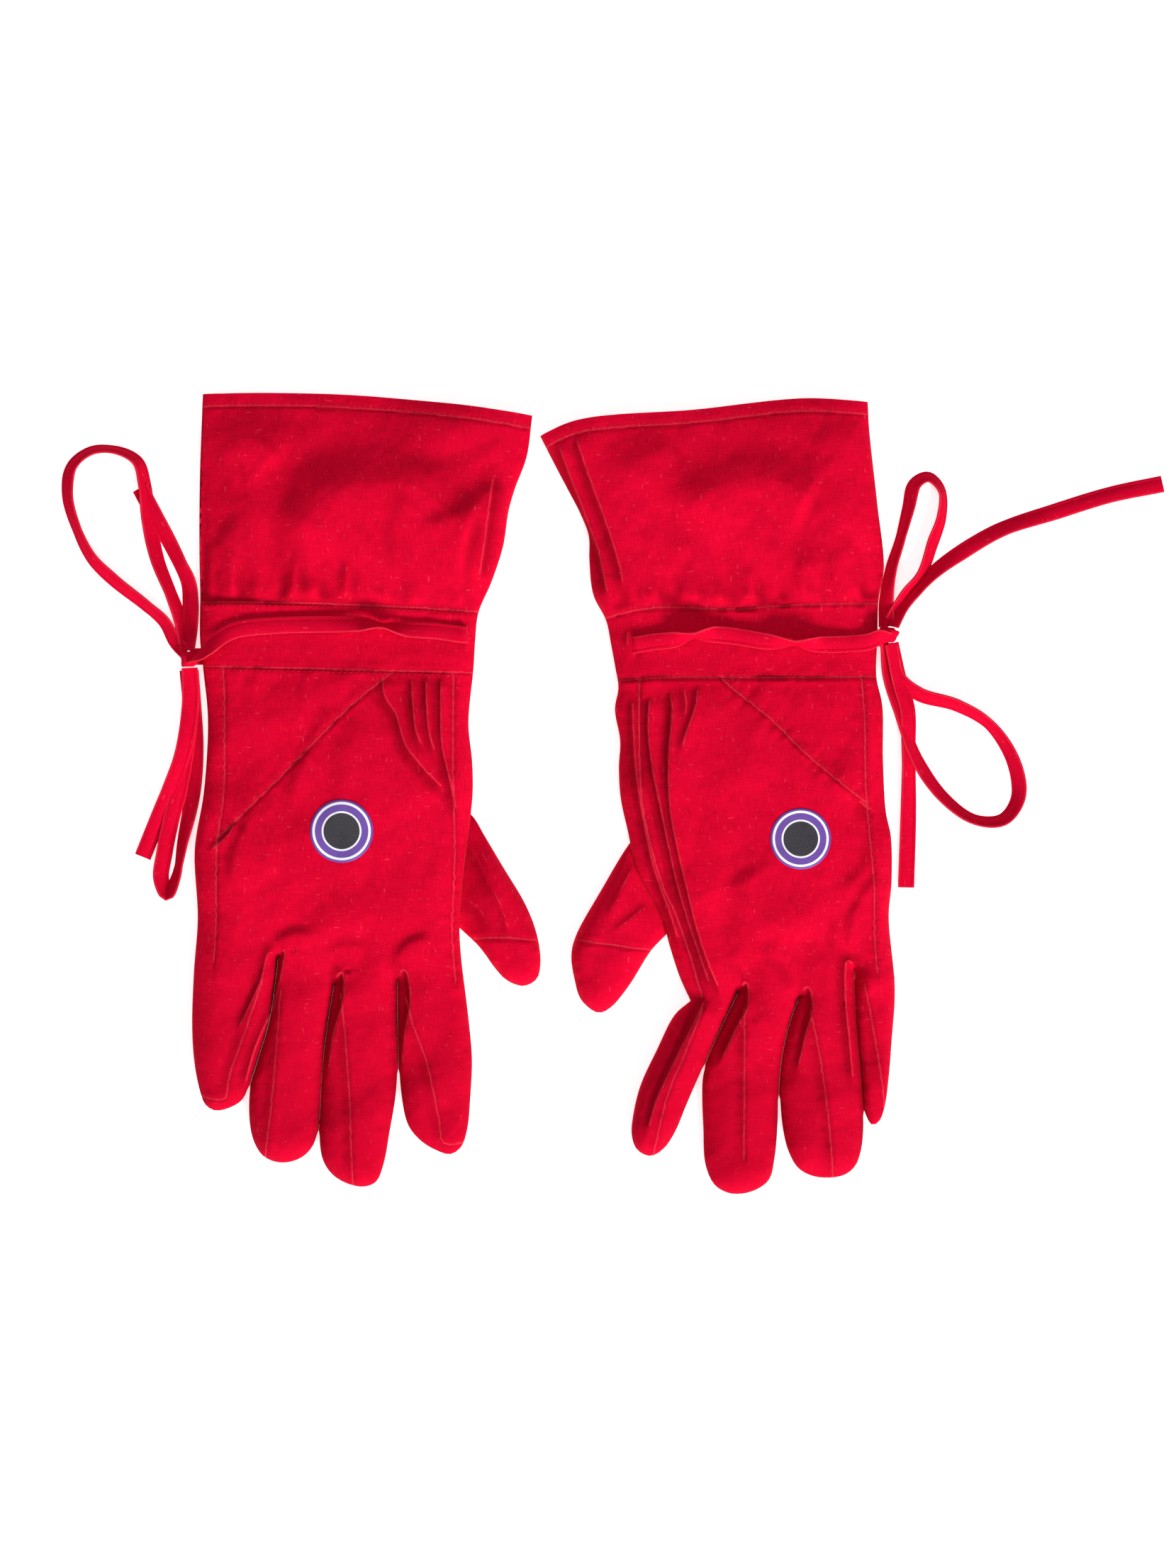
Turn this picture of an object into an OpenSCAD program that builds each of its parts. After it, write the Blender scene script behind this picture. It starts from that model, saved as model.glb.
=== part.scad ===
// A pair of sewn cloth gauntlet gloves lying flat, backs of the hands up, fingers towards -Y.
// Each glove is a flat box of sewn panels: palm side on the floor, back of the hand on top,
// strips and fourchettes as its side walls, a tape casing at the wrist and a flared cuff.
// The origin is on the floor below the middle of the pair. Right glove at -X, left glove at +X.

/* [Cloth] */
// Thickness of a sewn panel, with the plies turned in at its seams
ply = 1.4; // [1:0.1:1.8]
// Height of the hand, the wrist and the cuff above the floor
glove_h = 15; // [13:0.5:18]
// Height of a finger
finger_h = 14; // [12:0.5:15]
// Height of a thumb
thumb_h = 12.5; // [11:0.5:13]
// Width of the hem round the cuff's mouth
hem_w = 5.8; // [4:0.2:9]

/* [Flexing] */
// Gap on each side of a line where the cloth folds
flex_gap = 1.6; // [1.4:0.1:2.4]
// Gap between neighbouring fingers, on each finger's side
finger_clearance = 1.2; // [0.8:0.1:2]

/* [Tapes] */
// Width of the tie tape
tape_w = 7.6; // [6:0.2:9]
// Thickness of the tie tape, folded and stitched
tape_t = 1.2; // [0.8:0.1:1.5]
// Length of the slit where the tape leaves the casing
slit_w = 11; // [9:1:14]

/* [Badge] */
// Radius of the round badge
badge_r = 14.2; // [8:0.2:18]
// Thickness of the round badge
badge_t = 0.5; // [0.3:0.1:1]

/* [Hidden] */
$fn = 48;
cloth_red = [0.82, 0.04, 0.16];
tape_red = [0.74, 0.03, 0.14];
badge_violet = [0.38, 0.20, 0.60];

// Small names for the two gloves and what a glove's list holds.
RIGHT = 0;
LEFT = 1;
SIDES = ["right", "left"];
// +1 where the little finger is at +X
outward = [-1, 1];

INDEX = 0;
MIDDLE = 1;
RING = 2;
LITTLE = 3;
FINGER_NAMES = ["index", "middle", "ring", "little"];

// A finger: [middle of its root, middle of its round tip, half widths at root, middle and tip].
fingers = [
    [[[-51.5, -89], [-47.5, -150], 14.5, 16, 13.5],
     [[-81.5, -89], [-86, -163], 14, 15.5, 14.5],
     [[-108.5, -89], [-118.5, -153], 13, 14.2, 14],
     [[-140, -80], [-147, -131], 18.6, 17, 12.3]],
    [[[77.5, -98], [50, -152.5], 11, 12.5, 11.5],
     [[102, -97], [89.5, -165.5], 13.6, 14.6, 14.8],
     [[129.8, -97], [129.4, -159.6], 12, 14.8, 14.6],
     [[150.5, -84], [150.5, -143.5], 9.5, 7.6, 5.8]]];

// A thumb: [upper end of its root, lower end, shoulder, middle of its tip, tip radius, cross seam's y].
thumbs = [
    [[-33, -11], [-37.5, -62], [-8, -51], [-11.7, -77.4], 10, -67],
    [[38, -19], [53.5, -60], [14.5, -64], [24.5, -88.5], 11, -69]];

// The hand's edges, from the casing down to beyond the finger roots.
outer_edges = [
    [[-155, 55.4], [-153, 33], [-154.5, 1], [-159, -26], [-157.6, -57], [-159.5, -95]],
    [[151.5, 51.4], [154, 40], [154.2, 16], [155.5, -8], [158, -20], [158, -41], [157, -56], [160.5, -100]]];
thumb_edges = [
    [[-32, 55.4], [-34, 32], [-32, 14], [-32.5, -8], [-37.5, -63], [-35, -105]],
    [[34, 51.4], [32, 38], [35, 24], [34.6, 0], [38, -17], [44.6, -35], [54, -61], [72, -105]]];
// Width of the strip along each edge, on the back of the hand
outer_strip_w = [9.5, 8];
thumb_strip_w = [6, 9];

// The wrist gusset's diagonal seam, from above the casing's lower line to beyond the outer strip.
gusset_seams = [
    [[-59.3, 63], [-105, 22], [-154, -26.5]],
    [[73, 59], [117.5, 19], [155, -11]]];

// The casing: [thumb-side x, outer x, lower y, upper y] and the slit's middle.
casings = [[-31.6, -156.5, 55.4, 86.6], [32, 151.4, 51.4, 84.6]];
slit_y = [69, 66];

// The cuff's corners: thumb-side edge from the wrist up, then the outer edge down.
cuff_edges = [
    [[-30.4, 89.8], [-17.2, 120.5], [-8, 152.8], [-5.3, 171.8], [-155.2, 181.6], [-156.5, 89.8]],
    [[23.5, 87.8], [20.4, 117], [11, 138], [-1.6, 162.5], [147.2, 178.2], [153.6, 106], [151.4, 87.8]]];
// How many of those points are on the thumb side
cuff_thumb_points = [4, 4];

badges = [[-91.4, -17.1], [116.2, -20.6]];
knots = [[-161, 61, 5], [156.4, 72, 5]];
knot_r = 2.7;
knot_wrap_r = 1.8;
// How far the knot stands out from where its tapes meet
knot_out = 1.8;

// Gap between the tape and the casing it lies on, and under the casing where the tape goes back
tape_gap = 0.2;
casing_gap = 0.4;
// A length beyond every piece, for cutting
beyond = 300;

// The tape's front run over the casing, along its middle.
front_runs = [
    [[-155.2, 62], [-143, 71.5], [-119, 76.4], [-98.5, 76.4], [-75, 72.6], [-57, 68.6], [-33, 69]],
    [[150.2, 70], [121, 67.6], [104, 74.6], [74, 78], [51, 78.2], [41, 71], [33.4, 67]]];

// The free tapes: each route runs along the middle of the tape, from the knot outwards.
upper_loops = [
    [[-163, 64, 4.5], [-168, 69, 2.2], [-173, 78, 1.2], [-182, 86, 1.2], [-196, 97, 1.2],
     [-206, 107, 1.2], [-213, 121, 1.2], [-217, 136, 1.2], [-215, 149, 1.2], [-206, 156, 1.2],
     [-194, 156, 1.2], [-185, 151, 1.2], [-182, 141, 1.2], [-180, 124, 1.2], [-176, 106, 1.2],
     [-170, 91, 1.2], [-166, 80, 1.6], [-163, 68, 3.4]],
    [[156, 76, 4.5], [156, 89, 1.8], [158, 102, 1.2], [162, 115, 1.2], [166, 130, 1.2],
     [169, 141, 1.2], [175, 144, 1.2], [181, 138, 1.2], [181, 126, 1.2], [177, 114, 1.2],
     [172, 100, 1.2], [165, 91, 1.4], [158, 78, 3.4]]];
upper_tails = [
    [[-162, 65, 6.5], [-161, 76, 4.4], [-161, 86, 2.8], [-162, 96, 1.6], [-166, 105, 1.6],
     [-171, 115, 2.4], [-177, 126, 3.2], [-184, 139, 3.2]],
    [[158, 76, 6.5], [163, 85, 3.6], [170, 93, 3.2], [178, 101, 2.4], [189, 109, 1.2],
     [208, 120, 1.2], [232, 128, 1.2], [258, 136, 1.2], [282, 141, 1.2]]];
lower_loops = [
    [[-162, 56, 5], [-161, 40, 3.2], [-163, 22, 2.8], [-166, 3, 2.8], [-170, -12, 2], [-173, -27, 1.2],
     [-174.5, -39, 1.2], [-171.5, -46, 1.2], [-167.5, -38, 1.2], [-164.5, -22, 1.2], [-161.5, -8, 1.2],
     [-159.5, 6, 1.2], [-159, 22, 1.2], [-160, 40, 1.4], [-161, 56, 3]],
    [[156, 68, 5], [157, 53, 2.6], [162, 36, 1.2], [170, 15, 1.2], [182, -2, 1.2],
     [196, -12, 1.2], [209, -12, 1.2], [216, -2, 1.2], [214, 14, 1.2], [203, 31, 1.2],
     [188, 40, 1.2], [171, 45, 1.2], [161, 53, 1.6], [157.5, 67, 3.4]]];
lower_tails = [
    [[-161, 57, 7], [-161, 40, 5.2], [-164, 20, 4.6], [-169, 5, 4.2], [-176, -12, 2.6], [-183, -29, 1.4]],
    [[158, 68, 6.5], [162, 50, 4], [165.5, 38, 3.4], [166, 22, 2.8], [166, -8, 1.2], [165, -43, 1.2]]];

// ---- Helpers -------------------------------------------------------------

function reversed(list) = [for (i = [len(list) - 1:-1:0]) list[i]];
function shifted(list, by) = [for (p = list) p + by];

// How far a finger leans from -Y, and how long its straight part is.
function slant(f) = atan2(f[1].x - f[0].x, f[0].y - f[1].y);
function reach(f) = norm(f[1] - f[0]);

// Half width of a finger at share t of its length: a curve through its three widths.
function half_width(f, t) =
    f[2] * (1 - t) * (1 - 2 * t) + f[3] * 4 * t * (1 - t) + f[4] * t * (2 * t - 1);

// Outline of a finger that points to -Y from its root at the origin, taken in by inset.
function finger_outline(f, inset, root_y) =
    let(n = 6, l = reach(f), r = f[4] - inset)
    concat(
        [[half_width(f, 0) - inset, root_y]],
        [for (i = [1:n - 1]) [half_width(f, i / n) - inset, -l * i / n]],
        [for (a = [0:-18:-180]) [r * cos(a), -l + r * sin(a)]],
        [for (i = [n - 1:-1:1]) [-half_width(f, i / n) + inset, -l * i / n]],
        [[-half_width(f, 0) + inset, root_y]]);

module on_finger(f) translate([f[0].x, f[0].y, 0]) rotate([0, 0, slant(f)]) children();

module plate(points, z, thickness) translate([0, 0, z]) linear_extrude(thickness) polygon(points);

// A flat area between an edge and the same edge moved by a vector.
module edge_band(edge, by, z, thickness) plate(concat(edge, reversed(shifted(edge, by))), z, thickness);

// Where the finger roots meet the hand: both ends of each hinge line, held back by the flex gap.
function root_ends(f, side) =
    let(a = slant(f), across = [cos(a), sin(a)], up = [-sin(a), cos(a)] * flex_gap)
    [f[0] - across * f[2] * side + up, f[0] + across * f[2] * side + up];

// The hand's lower edge, from the outer side to the thumb side.
function knuckle_line(g) =
    [for (i = [LITTLE, RING, MIDDLE, INDEX]) each root_ends(fingers[g][i], -outward[g])];

function inner_outer_edge(g) = shifted(outer_edges[g], [-outward[g] * outer_strip_w[g], 0]);
function inner_thumb_edge(g) = shifted(thumb_edges[g], [outward[g] * thumb_strip_w[g], 0]);

// Everything above the knuckle line, so that each hand piece ends where the fingers fold.
module hand_zone(g) {
    line = knuckle_line(g);
    last = line[len(line) - 1];
    outer_x = line[0].x + outward[g] * beyond;
    thumb_x = last.x - outward[g] * beyond;
    plate(concat(line, [[thumb_x, last.y], [thumb_x, beyond], [outer_x, beyond], [outer_x, line[0].y]]),
        -1, glove_h + 2);
}

// ---- Hand ----------------------------------------------------------------

module palm(g) color(cloth_red) intersection() {
    plate(concat(outer_edges[g], reversed(thumb_edges[g])), 0, ply);
    hand_zone(g);
}

module gusset_area(g, z, thickness) {
    seam = gusset_seams[g];
    beyond_x = seam[2].x + outward[g] * 10;
    plate([[beyond_x, seam[0].y], seam[0], seam[1], seam[2], [beyond_x, seam[2].y]], z, thickness);
}

// The back of the hand between the two side strips.
module back_area(g)
    plate(concat(inner_outer_edge(g), reversed(inner_thumb_edge(g))), glove_h - ply, ply);

module hand_back(g) color(cloth_red) difference() {
    intersection() {
        back_area(g);
        hand_zone(g);
    }
    gusset_area(g, glove_h - 2 * ply, 3 * ply);
}

module wrist_gusset(g) color(cloth_red) intersection() {
    gusset_area(g, glove_h - 2 * ply, 3 * ply);
    back_area(g);
}

// A side strip: its lip on the back of the hand and the wall down to the palm.
module side_strip(g, edge, into, lip_w) color(cloth_red) intersection() {
    union() {
        edge_band(edge, [into * lip_w, 0], glove_h - ply, ply);
        edge_band(edge, [into * ply, 0], ply, glove_h - ply);
    }
    hand_zone(g);
}

module outer_strip(g) side_strip(g, outer_edges[g], -outward[g], outer_strip_w[g]);

module thumb_strip(g) {
    top = thumbs[g][0].y;
    bottom = thumbs[g][1].y;
    difference() {
        side_strip(g, thumb_edges[g], outward[g], thumb_strip_w[g]);
        // The hole that the thumb is sewn into
        translate([thumbs[g][0].x - beyond / 2, bottom - 1, ply - 1])
            cube([beyond, top - bottom + 2, glove_h - 2 * ply + 1]);
    }
}

module badge(g) color(badge_violet)
    translate([badges[g].x, badges[g].y, glove_h]) cylinder(h = badge_t, r = badge_r);

// ---- Wrist casing and cuff -------------------------------------------------

module casing(g) color(cloth_red) {
    c = casings[g];
    low_x = min(c[0], c[1]);
    width = abs(c[1] - c[0]);
    depth = c[3] - c[2];
    lift = tape_t + casing_gap;
    slit_x = g == RIGHT ? low_x + width - 2 * ply : low_x - ply;
    difference() {
        translate([low_x, c[2], lift]) cube([width, depth, glove_h - lift]);
        translate([low_x + ply, c[2] - 1, lift + ply])
            cube([width - 2 * ply, depth + 2, glove_h - lift - 2 * ply]);
        translate([slit_x, slit_y[g] - slit_w / 2, -1]) cube([3 * ply, slit_w, glove_h - 2 * ply]);
    }
}

// Both sides of the cuff stop short of its mouth, where the hem takes over.
function thumb_side(g) = [for (i = [0:cuff_thumb_points[g] - 1]) cuff_edges[g][i]];
function outer_side(g) = [for (i = [cuff_thumb_points[g]:len(cuff_edges[g]) - 1]) cuff_edges[g][i]];

module cuff_solid(g, inset, z, thickness) {
    in = [outward[g] * inset, 0];
    plate(concat(shifted(thumb_side(g), in), shifted(outer_side(g), -in)), z, thickness);
}

// A line parallel to the mouth: everything beyond it belongs to the hem.
module mouth_zone(g) {
    a = cuff_edges[g][cuff_thumb_points[g] - 1];
    b = cuff_edges[g][cuff_thumb_points[g]];
    turn = atan2(abs(b.y - a.y), abs(b.x - a.x)) * outward[g];
    left_end = g == RIGHT ? b : a;
    long = norm(b - a);
    margin = 20;
    translate([left_end.x, left_end.y, 0]) rotate([0, 0, turn])
        translate([-margin, -hem_w, -1]) cube([long + 2 * margin, margin + hem_w, glove_h + 2]);
}

// Half of the cuff's shell: a panel and its turned edges, which meet the other half in the side seams.
module cuff_half(g, z, flange_z) color(cloth_red) difference() {
    union() {
        cuff_solid(g, 0, z, ply);
        difference() {
            cuff_solid(g, 0, flange_z, glove_h / 2);
            edge_hollow(g);
        }
    }
    mouth_zone(g);
}

module edge_hollow(g) {
    past = 3;
    in = [outward[g] * ply, 0];
    side_a = shifted(thumb_side(g), in);
    side_b = shifted(outer_side(g), -in);
    low = [0, -past];
    high = [0, past];
    plate(concat([side_a[0] + low], side_a, [side_a[len(side_a) - 1] + high],
        [side_b[0] + high], side_b, [side_b[len(side_b) - 1] + low]), -1, glove_h + 2);
}

module cuff_back(g) cuff_half(g, glove_h - ply, glove_h / 2);
module cuff_palm(g) cuff_half(g, 0, 0);

module cuff_hem(g) color(cloth_red) intersection() {
    difference() {
        cuff_solid(g, 0, 0, glove_h);
        intersection() {
            edge_hollow(g);
            translate([-beyond, -beyond, ply]) cube([2 * beyond, 2 * beyond, glove_h - 2 * ply]);
        }
    }
    mouth_zone(g);
}

// ---- Fingers ----------------------------------------------------------------

// The seam on the back of a finger runs down its middle: the back panel lies on the outer side of it.
module finger_half(f, side, z, thickness) intersection() {
    plate(finger_outline(f, finger_clearance, -flex_gap), z, thickness);
    translate([side > 0 ? 0 : -beyond, -beyond, z - 1]) cube([beyond, beyond, thickness + 2]);
}

module finger_back(g, i) color(cloth_red)
    on_finger(fingers[g][i]) finger_half(fingers[g][i], outward[g], finger_h - ply, ply);

module finger_palm(g, i) color(cloth_red)
    on_finger(fingers[g][i]) plate(finger_outline(fingers[g][i], finger_clearance, -flex_gap), 0, ply);

// The fourchette goes down one side of the finger, round its tip and up the other side.
module finger_fourchette(g, i) color(cloth_red) on_finger(fingers[g][i]) {
    f = fingers[g][i];
    union() {
        difference() {
            plate(finger_outline(f, finger_clearance, -flex_gap), ply, finger_h - 2 * ply);
            plate(finger_outline(f, finger_clearance + ply, 1), 0, finger_h);
        }
        finger_half(f, -outward[g], finger_h - ply, ply);
    }
}

// ---- Thumb ------------------------------------------------------------------

// Outline of the thumb: from the upper end of its root over the shoulder, round the tip, and back.
function thumb_outline(g, inset, root_in) =
    let(th = thumbs[g], s = outward[g], r = th[4] - inset,
        out = [-s * (flex_gap + root_in), 0])
    concat(
        [th[0] + out + [0, -inset]],
        [th[2] + [s * inset, inset * 0.4]],
        [for (a = [0:-18:-144]) th[3] + r * [-s * cos(a), sin(a)]],
        [th[1] + out + [0, inset]]);

module thumb_shell(g) difference() {
    plate(thumb_outline(g, 0, 0), 0, thumb_h);
    plate(thumb_outline(g, ply, -3), ply, thumb_h - 2 * ply);
}

module beyond_cross_seam(g, far) {
    seam_y = thumbs[g][5];
    translate([thumbs[g][3].x - beyond / 2, far ? seam_y - beyond : seam_y, -1])
        cube([beyond, beyond, thumb_h + 2]);
}

module thumb(g) color(cloth_red) intersection() {
    thumb_shell(g);
    beyond_cross_seam(g, false);
}

module thumb_tip(g) color(cloth_red) intersection() {
    thumb_shell(g);
    beyond_cross_seam(g, true);
}

// ---- Tapes ------------------------------------------------------------------

// A tape swept along its route, flat side up, as one closed solid with eight sides.
module tape(route) {
    n = len(route);
    sides = 8;
    function ahead(i) = route[min(i + 1, n - 1)] - route[max(i - 1, 0)];
    function across(i) = let(d = ahead(i)) [d.y, -d.x, 0] / norm([d.x, d.y]);
    points = [for (i = [0:n - 1]) for (k = [0:sides - 1])
        let(a = 360 * (k + 0.5) / sides, flat = cos(180 / sides))
        route[i] + across(i) * tape_w / 2 * cos(a) / flat + [0, 0, tape_t / 2 * sin(a) / flat]];
    walls = [for (i = [0:n - 2]) for (k = [0:sides - 1])
        let(a = i * sides + k, b = i * sides + (k + 1) % sides)
        each [[a, a + sides, b + sides], [a, b + sides, b]]];
    start = [for (k = [0:sides - 1]) k];
    end = [for (k = [sides - 1:-1:0]) (n - 1) * sides + k];
    color(tape_red) polyhedron(points, concat([start], walls, [end]));
}

// The tape that goes round the wrist: over the casing, down past the knot, under it and out of the slit.
module tie_band(g) color(tape_red) {
    run = front_runs[g];
    half = [0, tape_w / 2];
    c = casings[g];
    s = outward[g];
    outer_x = c[1] + s * (tape_gap + tape_t);
    thumb_x = c[0] - s * (tape_gap + tape_t);
    top = concat([[outer_x, run[0].y]], run, [[thumb_x, run[len(run) - 1].y]]);
    y_out = run[0].y;
    y_in = run[len(run) - 1].y;
    full_h = glove_h + tape_t + tape_gap;
    union() {
        plate(concat(shifted(top, half), reversed(shifted(top, -half))), glove_h + tape_gap, tape_t);
        translate([min(outer_x, c[1] + s * tape_gap), y_out - tape_w / 2, 0]) cube([tape_t, tape_w, full_h]);
        translate([min(thumb_x, c[0] - s * tape_gap), y_in - tape_w / 2, 0]) cube([tape_t, tape_w, full_h]);
        plate([[outer_x, y_out - tape_w / 2], [outer_x, y_out + tape_w / 2],
            [thumb_x, y_in + tape_w / 2], [thumb_x, y_in - tape_w / 2]], 0, tape_t);
    }
}

// The knot: two wraps of tape round a tight middle.
module tie_knot(g) color(tape_red) translate(knots[g] + [outward[g] * knot_out, 0, 0]) union() {
    rotate([0, 90, 0]) rotate_extrude() translate([knot_r, 0]) circle(knot_wrap_r, $fn = 24);
    rotate([90, 0, 0]) cylinder(h = 2 * knot_r + knot_wrap_r, r = knot_wrap_r, center = true);
}

module tie_upper_loop(g) tape(upper_loops[g]);
module tie_upper_tail(g) tape(upper_tails[g]);
module tie_lower_loop(g) tape(lower_loops[g]);
module tie_lower_tail(g) tape(lower_tails[g]);

// ---- Nodes ------------------------------------------------------------------

HAND_PIECES = ["palm", "hand_back", "wrist_gusset", "outer_strip", "thumb_strip", "badge", "casing",
    "cuff_back", "cuff_palm", "cuff_hem", "thumb", "thumb_tip", "tie_band", "tie_knot",
    "tie_upper_loop", "tie_upper_tail", "tie_lower_loop", "tie_lower_tail"];
FINGER_PIECES = ["back", "palm", "fourchette"];

for (g = [RIGHT, LEFT]) {
    palm(g);
    hand_back(g);
    wrist_gusset(g);
    outer_strip(g);
    thumb_strip(g);
    badge(g);
    casing(g);
    cuff_back(g);
    cuff_palm(g);
    cuff_hem(g);
    thumb(g);
    thumb_tip(g);
    tie_band(g);
    tie_knot(g);
    tie_upper_loop(g);
    tie_upper_tail(g);
    tie_lower_loop(g);
    tie_lower_tail(g);
    for (i = [INDEX:LITTLE]) {
        finger_back(g, i);
        finger_palm(g, i);
        finger_fourchette(g, i);
    }
}
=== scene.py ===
import math
import bmesh
import bpy
import numpy as np
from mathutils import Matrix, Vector
from mathutils.bvhtree import BVHTree
from mathutils.geometry import delaunay_2d_cdt
from mathutils.kdtree import KDTree


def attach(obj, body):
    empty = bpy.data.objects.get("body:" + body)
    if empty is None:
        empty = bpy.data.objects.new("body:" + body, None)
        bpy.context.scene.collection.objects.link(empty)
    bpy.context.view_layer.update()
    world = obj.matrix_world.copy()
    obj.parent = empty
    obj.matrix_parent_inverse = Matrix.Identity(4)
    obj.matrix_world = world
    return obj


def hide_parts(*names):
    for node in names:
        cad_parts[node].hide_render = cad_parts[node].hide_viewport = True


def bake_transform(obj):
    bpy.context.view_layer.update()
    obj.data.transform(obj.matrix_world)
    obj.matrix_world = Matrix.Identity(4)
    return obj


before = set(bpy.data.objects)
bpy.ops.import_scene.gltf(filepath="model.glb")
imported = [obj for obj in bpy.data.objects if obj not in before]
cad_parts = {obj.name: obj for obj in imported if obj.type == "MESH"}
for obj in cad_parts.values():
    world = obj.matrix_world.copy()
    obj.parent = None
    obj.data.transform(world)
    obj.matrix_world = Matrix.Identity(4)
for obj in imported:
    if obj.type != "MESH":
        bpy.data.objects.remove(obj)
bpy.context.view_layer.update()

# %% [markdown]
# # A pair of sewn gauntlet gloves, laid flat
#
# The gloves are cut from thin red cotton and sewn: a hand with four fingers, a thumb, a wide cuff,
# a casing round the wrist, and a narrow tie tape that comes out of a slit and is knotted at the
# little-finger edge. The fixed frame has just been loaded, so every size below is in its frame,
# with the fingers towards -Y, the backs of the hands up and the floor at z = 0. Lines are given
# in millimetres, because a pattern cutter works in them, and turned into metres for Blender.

MM = 0.001
SIDES = ("right", "left")
outward = {"right": -1, "left": 1}          # which way the little finger lies

# %% [markdown]
# ## Camera
#
# The gloves are seen from straight above, from far enough away that their sides hardly show.
# A long lens on a camera that looks down does that. Its up direction is +Y, so it needs no turn.

# %% The camera looks straight down
view_centre = Vector((0.0200, 0.0042, 0.006))
view_height = 0.7129
lens_mm, sensor_mm = 85.0, 36.0
camera_data = bpy.data.cameras.new("overhead_camera")
camera_data.lens = lens_mm
camera_data.sensor_width = sensor_mm
camera_data.clip_start, camera_data.clip_end = 0.05, 20.0
camera = bpy.data.objects.new("overhead_camera", camera_data)
bpy.context.scene.collection.objects.link(camera)
camera.location = view_centre + Vector((0, 0, view_height * lens_mm / sensor_mm))
bpy.context.scene.camera = camera
print("camera height", round(camera.location.z, 3), "m")

# %% [markdown]
# ## Smooth lines
#
# Every seam, edge and tape follows a few chosen points. A Catmull-Rom curve passes through all of
# them, and walking along it in equal steps gives points that are evenly spaced.

# %% A smooth line through chosen points, in even steps
def even_line(points, step):
    p = np.asarray(points, float)
    if len(p) > 2:
        ends = np.vstack([2 * p[0] - p[1], p, 2 * p[-1] - p[-2]])
        t = np.linspace(0, 1, 20, endpoint=False)[:, None]
        pieces = []
        for p0, p1, p2, p3 in zip(ends, ends[1:], ends[2:], ends[3:]):
            a, b, c = (max(np.linalg.norm(q - r) ** 0.5, 1e-6) for q, r in ((p1, p0), (p2, p1), (p3, p2)))
            m1 = b * ((p1 - p0) / a - (p2 - p0) / (a + b) + (p2 - p1) / b)
            m2 = b * ((p2 - p1) / b - (p3 - p1) / (b + c) + (p3 - p2) / c)
            pieces.append((2 * t**3 - 3 * t**2 + 1) * p1 + (t**3 - 2 * t**2 + t) * m1
                          + (3 * t**2 - 2 * t**3) * p2 + (t**3 - t**2) * m2)
        p = np.vstack(pieces + [p[-1:]])
    far = np.r_[0, np.cumsum(np.linalg.norm(np.diff(p, axis=0), axis=1))]
    places = np.linspace(0, far[-1], max(2, int(round(far[-1] / step)) + 1))
    return np.column_stack([np.interp(places, far, column) for column in p.T])


def line_length(points):
    return float(np.linalg.norm(np.diff(points, axis=0), axis=1).sum())


def soft_step(x, low, high):
    t = np.clip((np.asarray(x, float) - low) / (high - low), 0, 1)
    return t * t * (3 - 2 * t)

# %% [markdown]
# ## Tie tapes
#
# Each tie is a folded and stitched tape 7.6 mm wide. Past the knot it makes a bow: two loops and
# two cut tails, lying loosely on the table and half standing on edge. A ribbon is swept along its
# route: at each point a flat cross-section is turned by a tilt, so that it shows more or less of
# its width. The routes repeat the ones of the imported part, and the cords come first because
# everything else has to leave room for them.

# %% Routes of the loops and tails, in millimetres
tape_wide, tape_thick = 7.6, 1.0
tape_clear = 0.08                           # lowest that a tape comes above the floor
knots = {"right": (-161, 61, 5), "left": (156.4, 72, 5)}
upper_loops = {
    "right": [(-163, 64, 4.5), (-168, 69, 2.2), (-173, 78, 1.2), (-182, 86, 1.2), (-196, 97, 1.2),
              (-206, 107, 1.2), (-213, 121, 1.2), (-217, 136, 1.2), (-215, 149, 1.2), (-206, 156, 1.2),
              (-194, 156, 1.2), (-185, 151, 1.2), (-182, 141, 1.2), (-180, 124, 1.2), (-176, 106, 1.2),
              (-170, 91, 1.2), (-166, 80, 1.6), (-163, 68, 3.4)],
    "left": [(156, 76, 4.5), (156, 89, 1.8), (158, 102, 1.2), (162, 115, 1.2), (166, 130, 1.2),
             (169, 141, 1.2), (175, 144, 1.2), (181, 138, 1.2), (181, 126, 1.2), (177, 114, 1.2),
             (172, 100, 1.2), (165, 91, 1.4), (158, 78, 3.4)]}
upper_tails = {
    "right": [(-162, 65, 6.5), (-161, 76, 4.4), (-161, 86, 2.8), (-162, 96, 1.6), (-166, 105, 1.6),
              (-171, 115, 2.4), (-177, 126, 3.2), (-184, 139, 3.2)],
    "left": [(158, 76, 6.5), (163, 85, 3.6), (170, 93, 3.2), (178, 101, 2.4), (189, 109, 1.2),
             (208, 120, 1.2), (232, 128, 1.2), (258, 136, 1.2), (282, 141, 1.2)]}
lower_loops = {
    "right": [(-162, 56, 5), (-161, 40, 3.2), (-163, 22, 2.8), (-166, 3, 2.8), (-170, -12, 2),
              (-173, -27, 1.2), (-174.5, -39, 1.2), (-171.5, -46, 1.2), (-167.5, -38, 1.2),
              (-164.5, -22, 1.2), (-161.5, -8, 1.2), (-159.5, 6, 1.2), (-159, 22, 1.2),
              (-160, 40, 1.4), (-161, 56, 3)],
    "left": [(156, 68, 5), (157, 53, 2.6), (162, 36, 1.2), (170, 15, 1.2), (182, -2, 1.2),
             (196, -12, 1.2), (209, -12, 1.2), (216, -2, 1.2), (214, 14, 1.2), (203, 31, 1.2),
             (188, 40, 1.2), (171, 45, 1.2), (161, 53, 1.6), (157.5, 67, 3.4)]}
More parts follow.
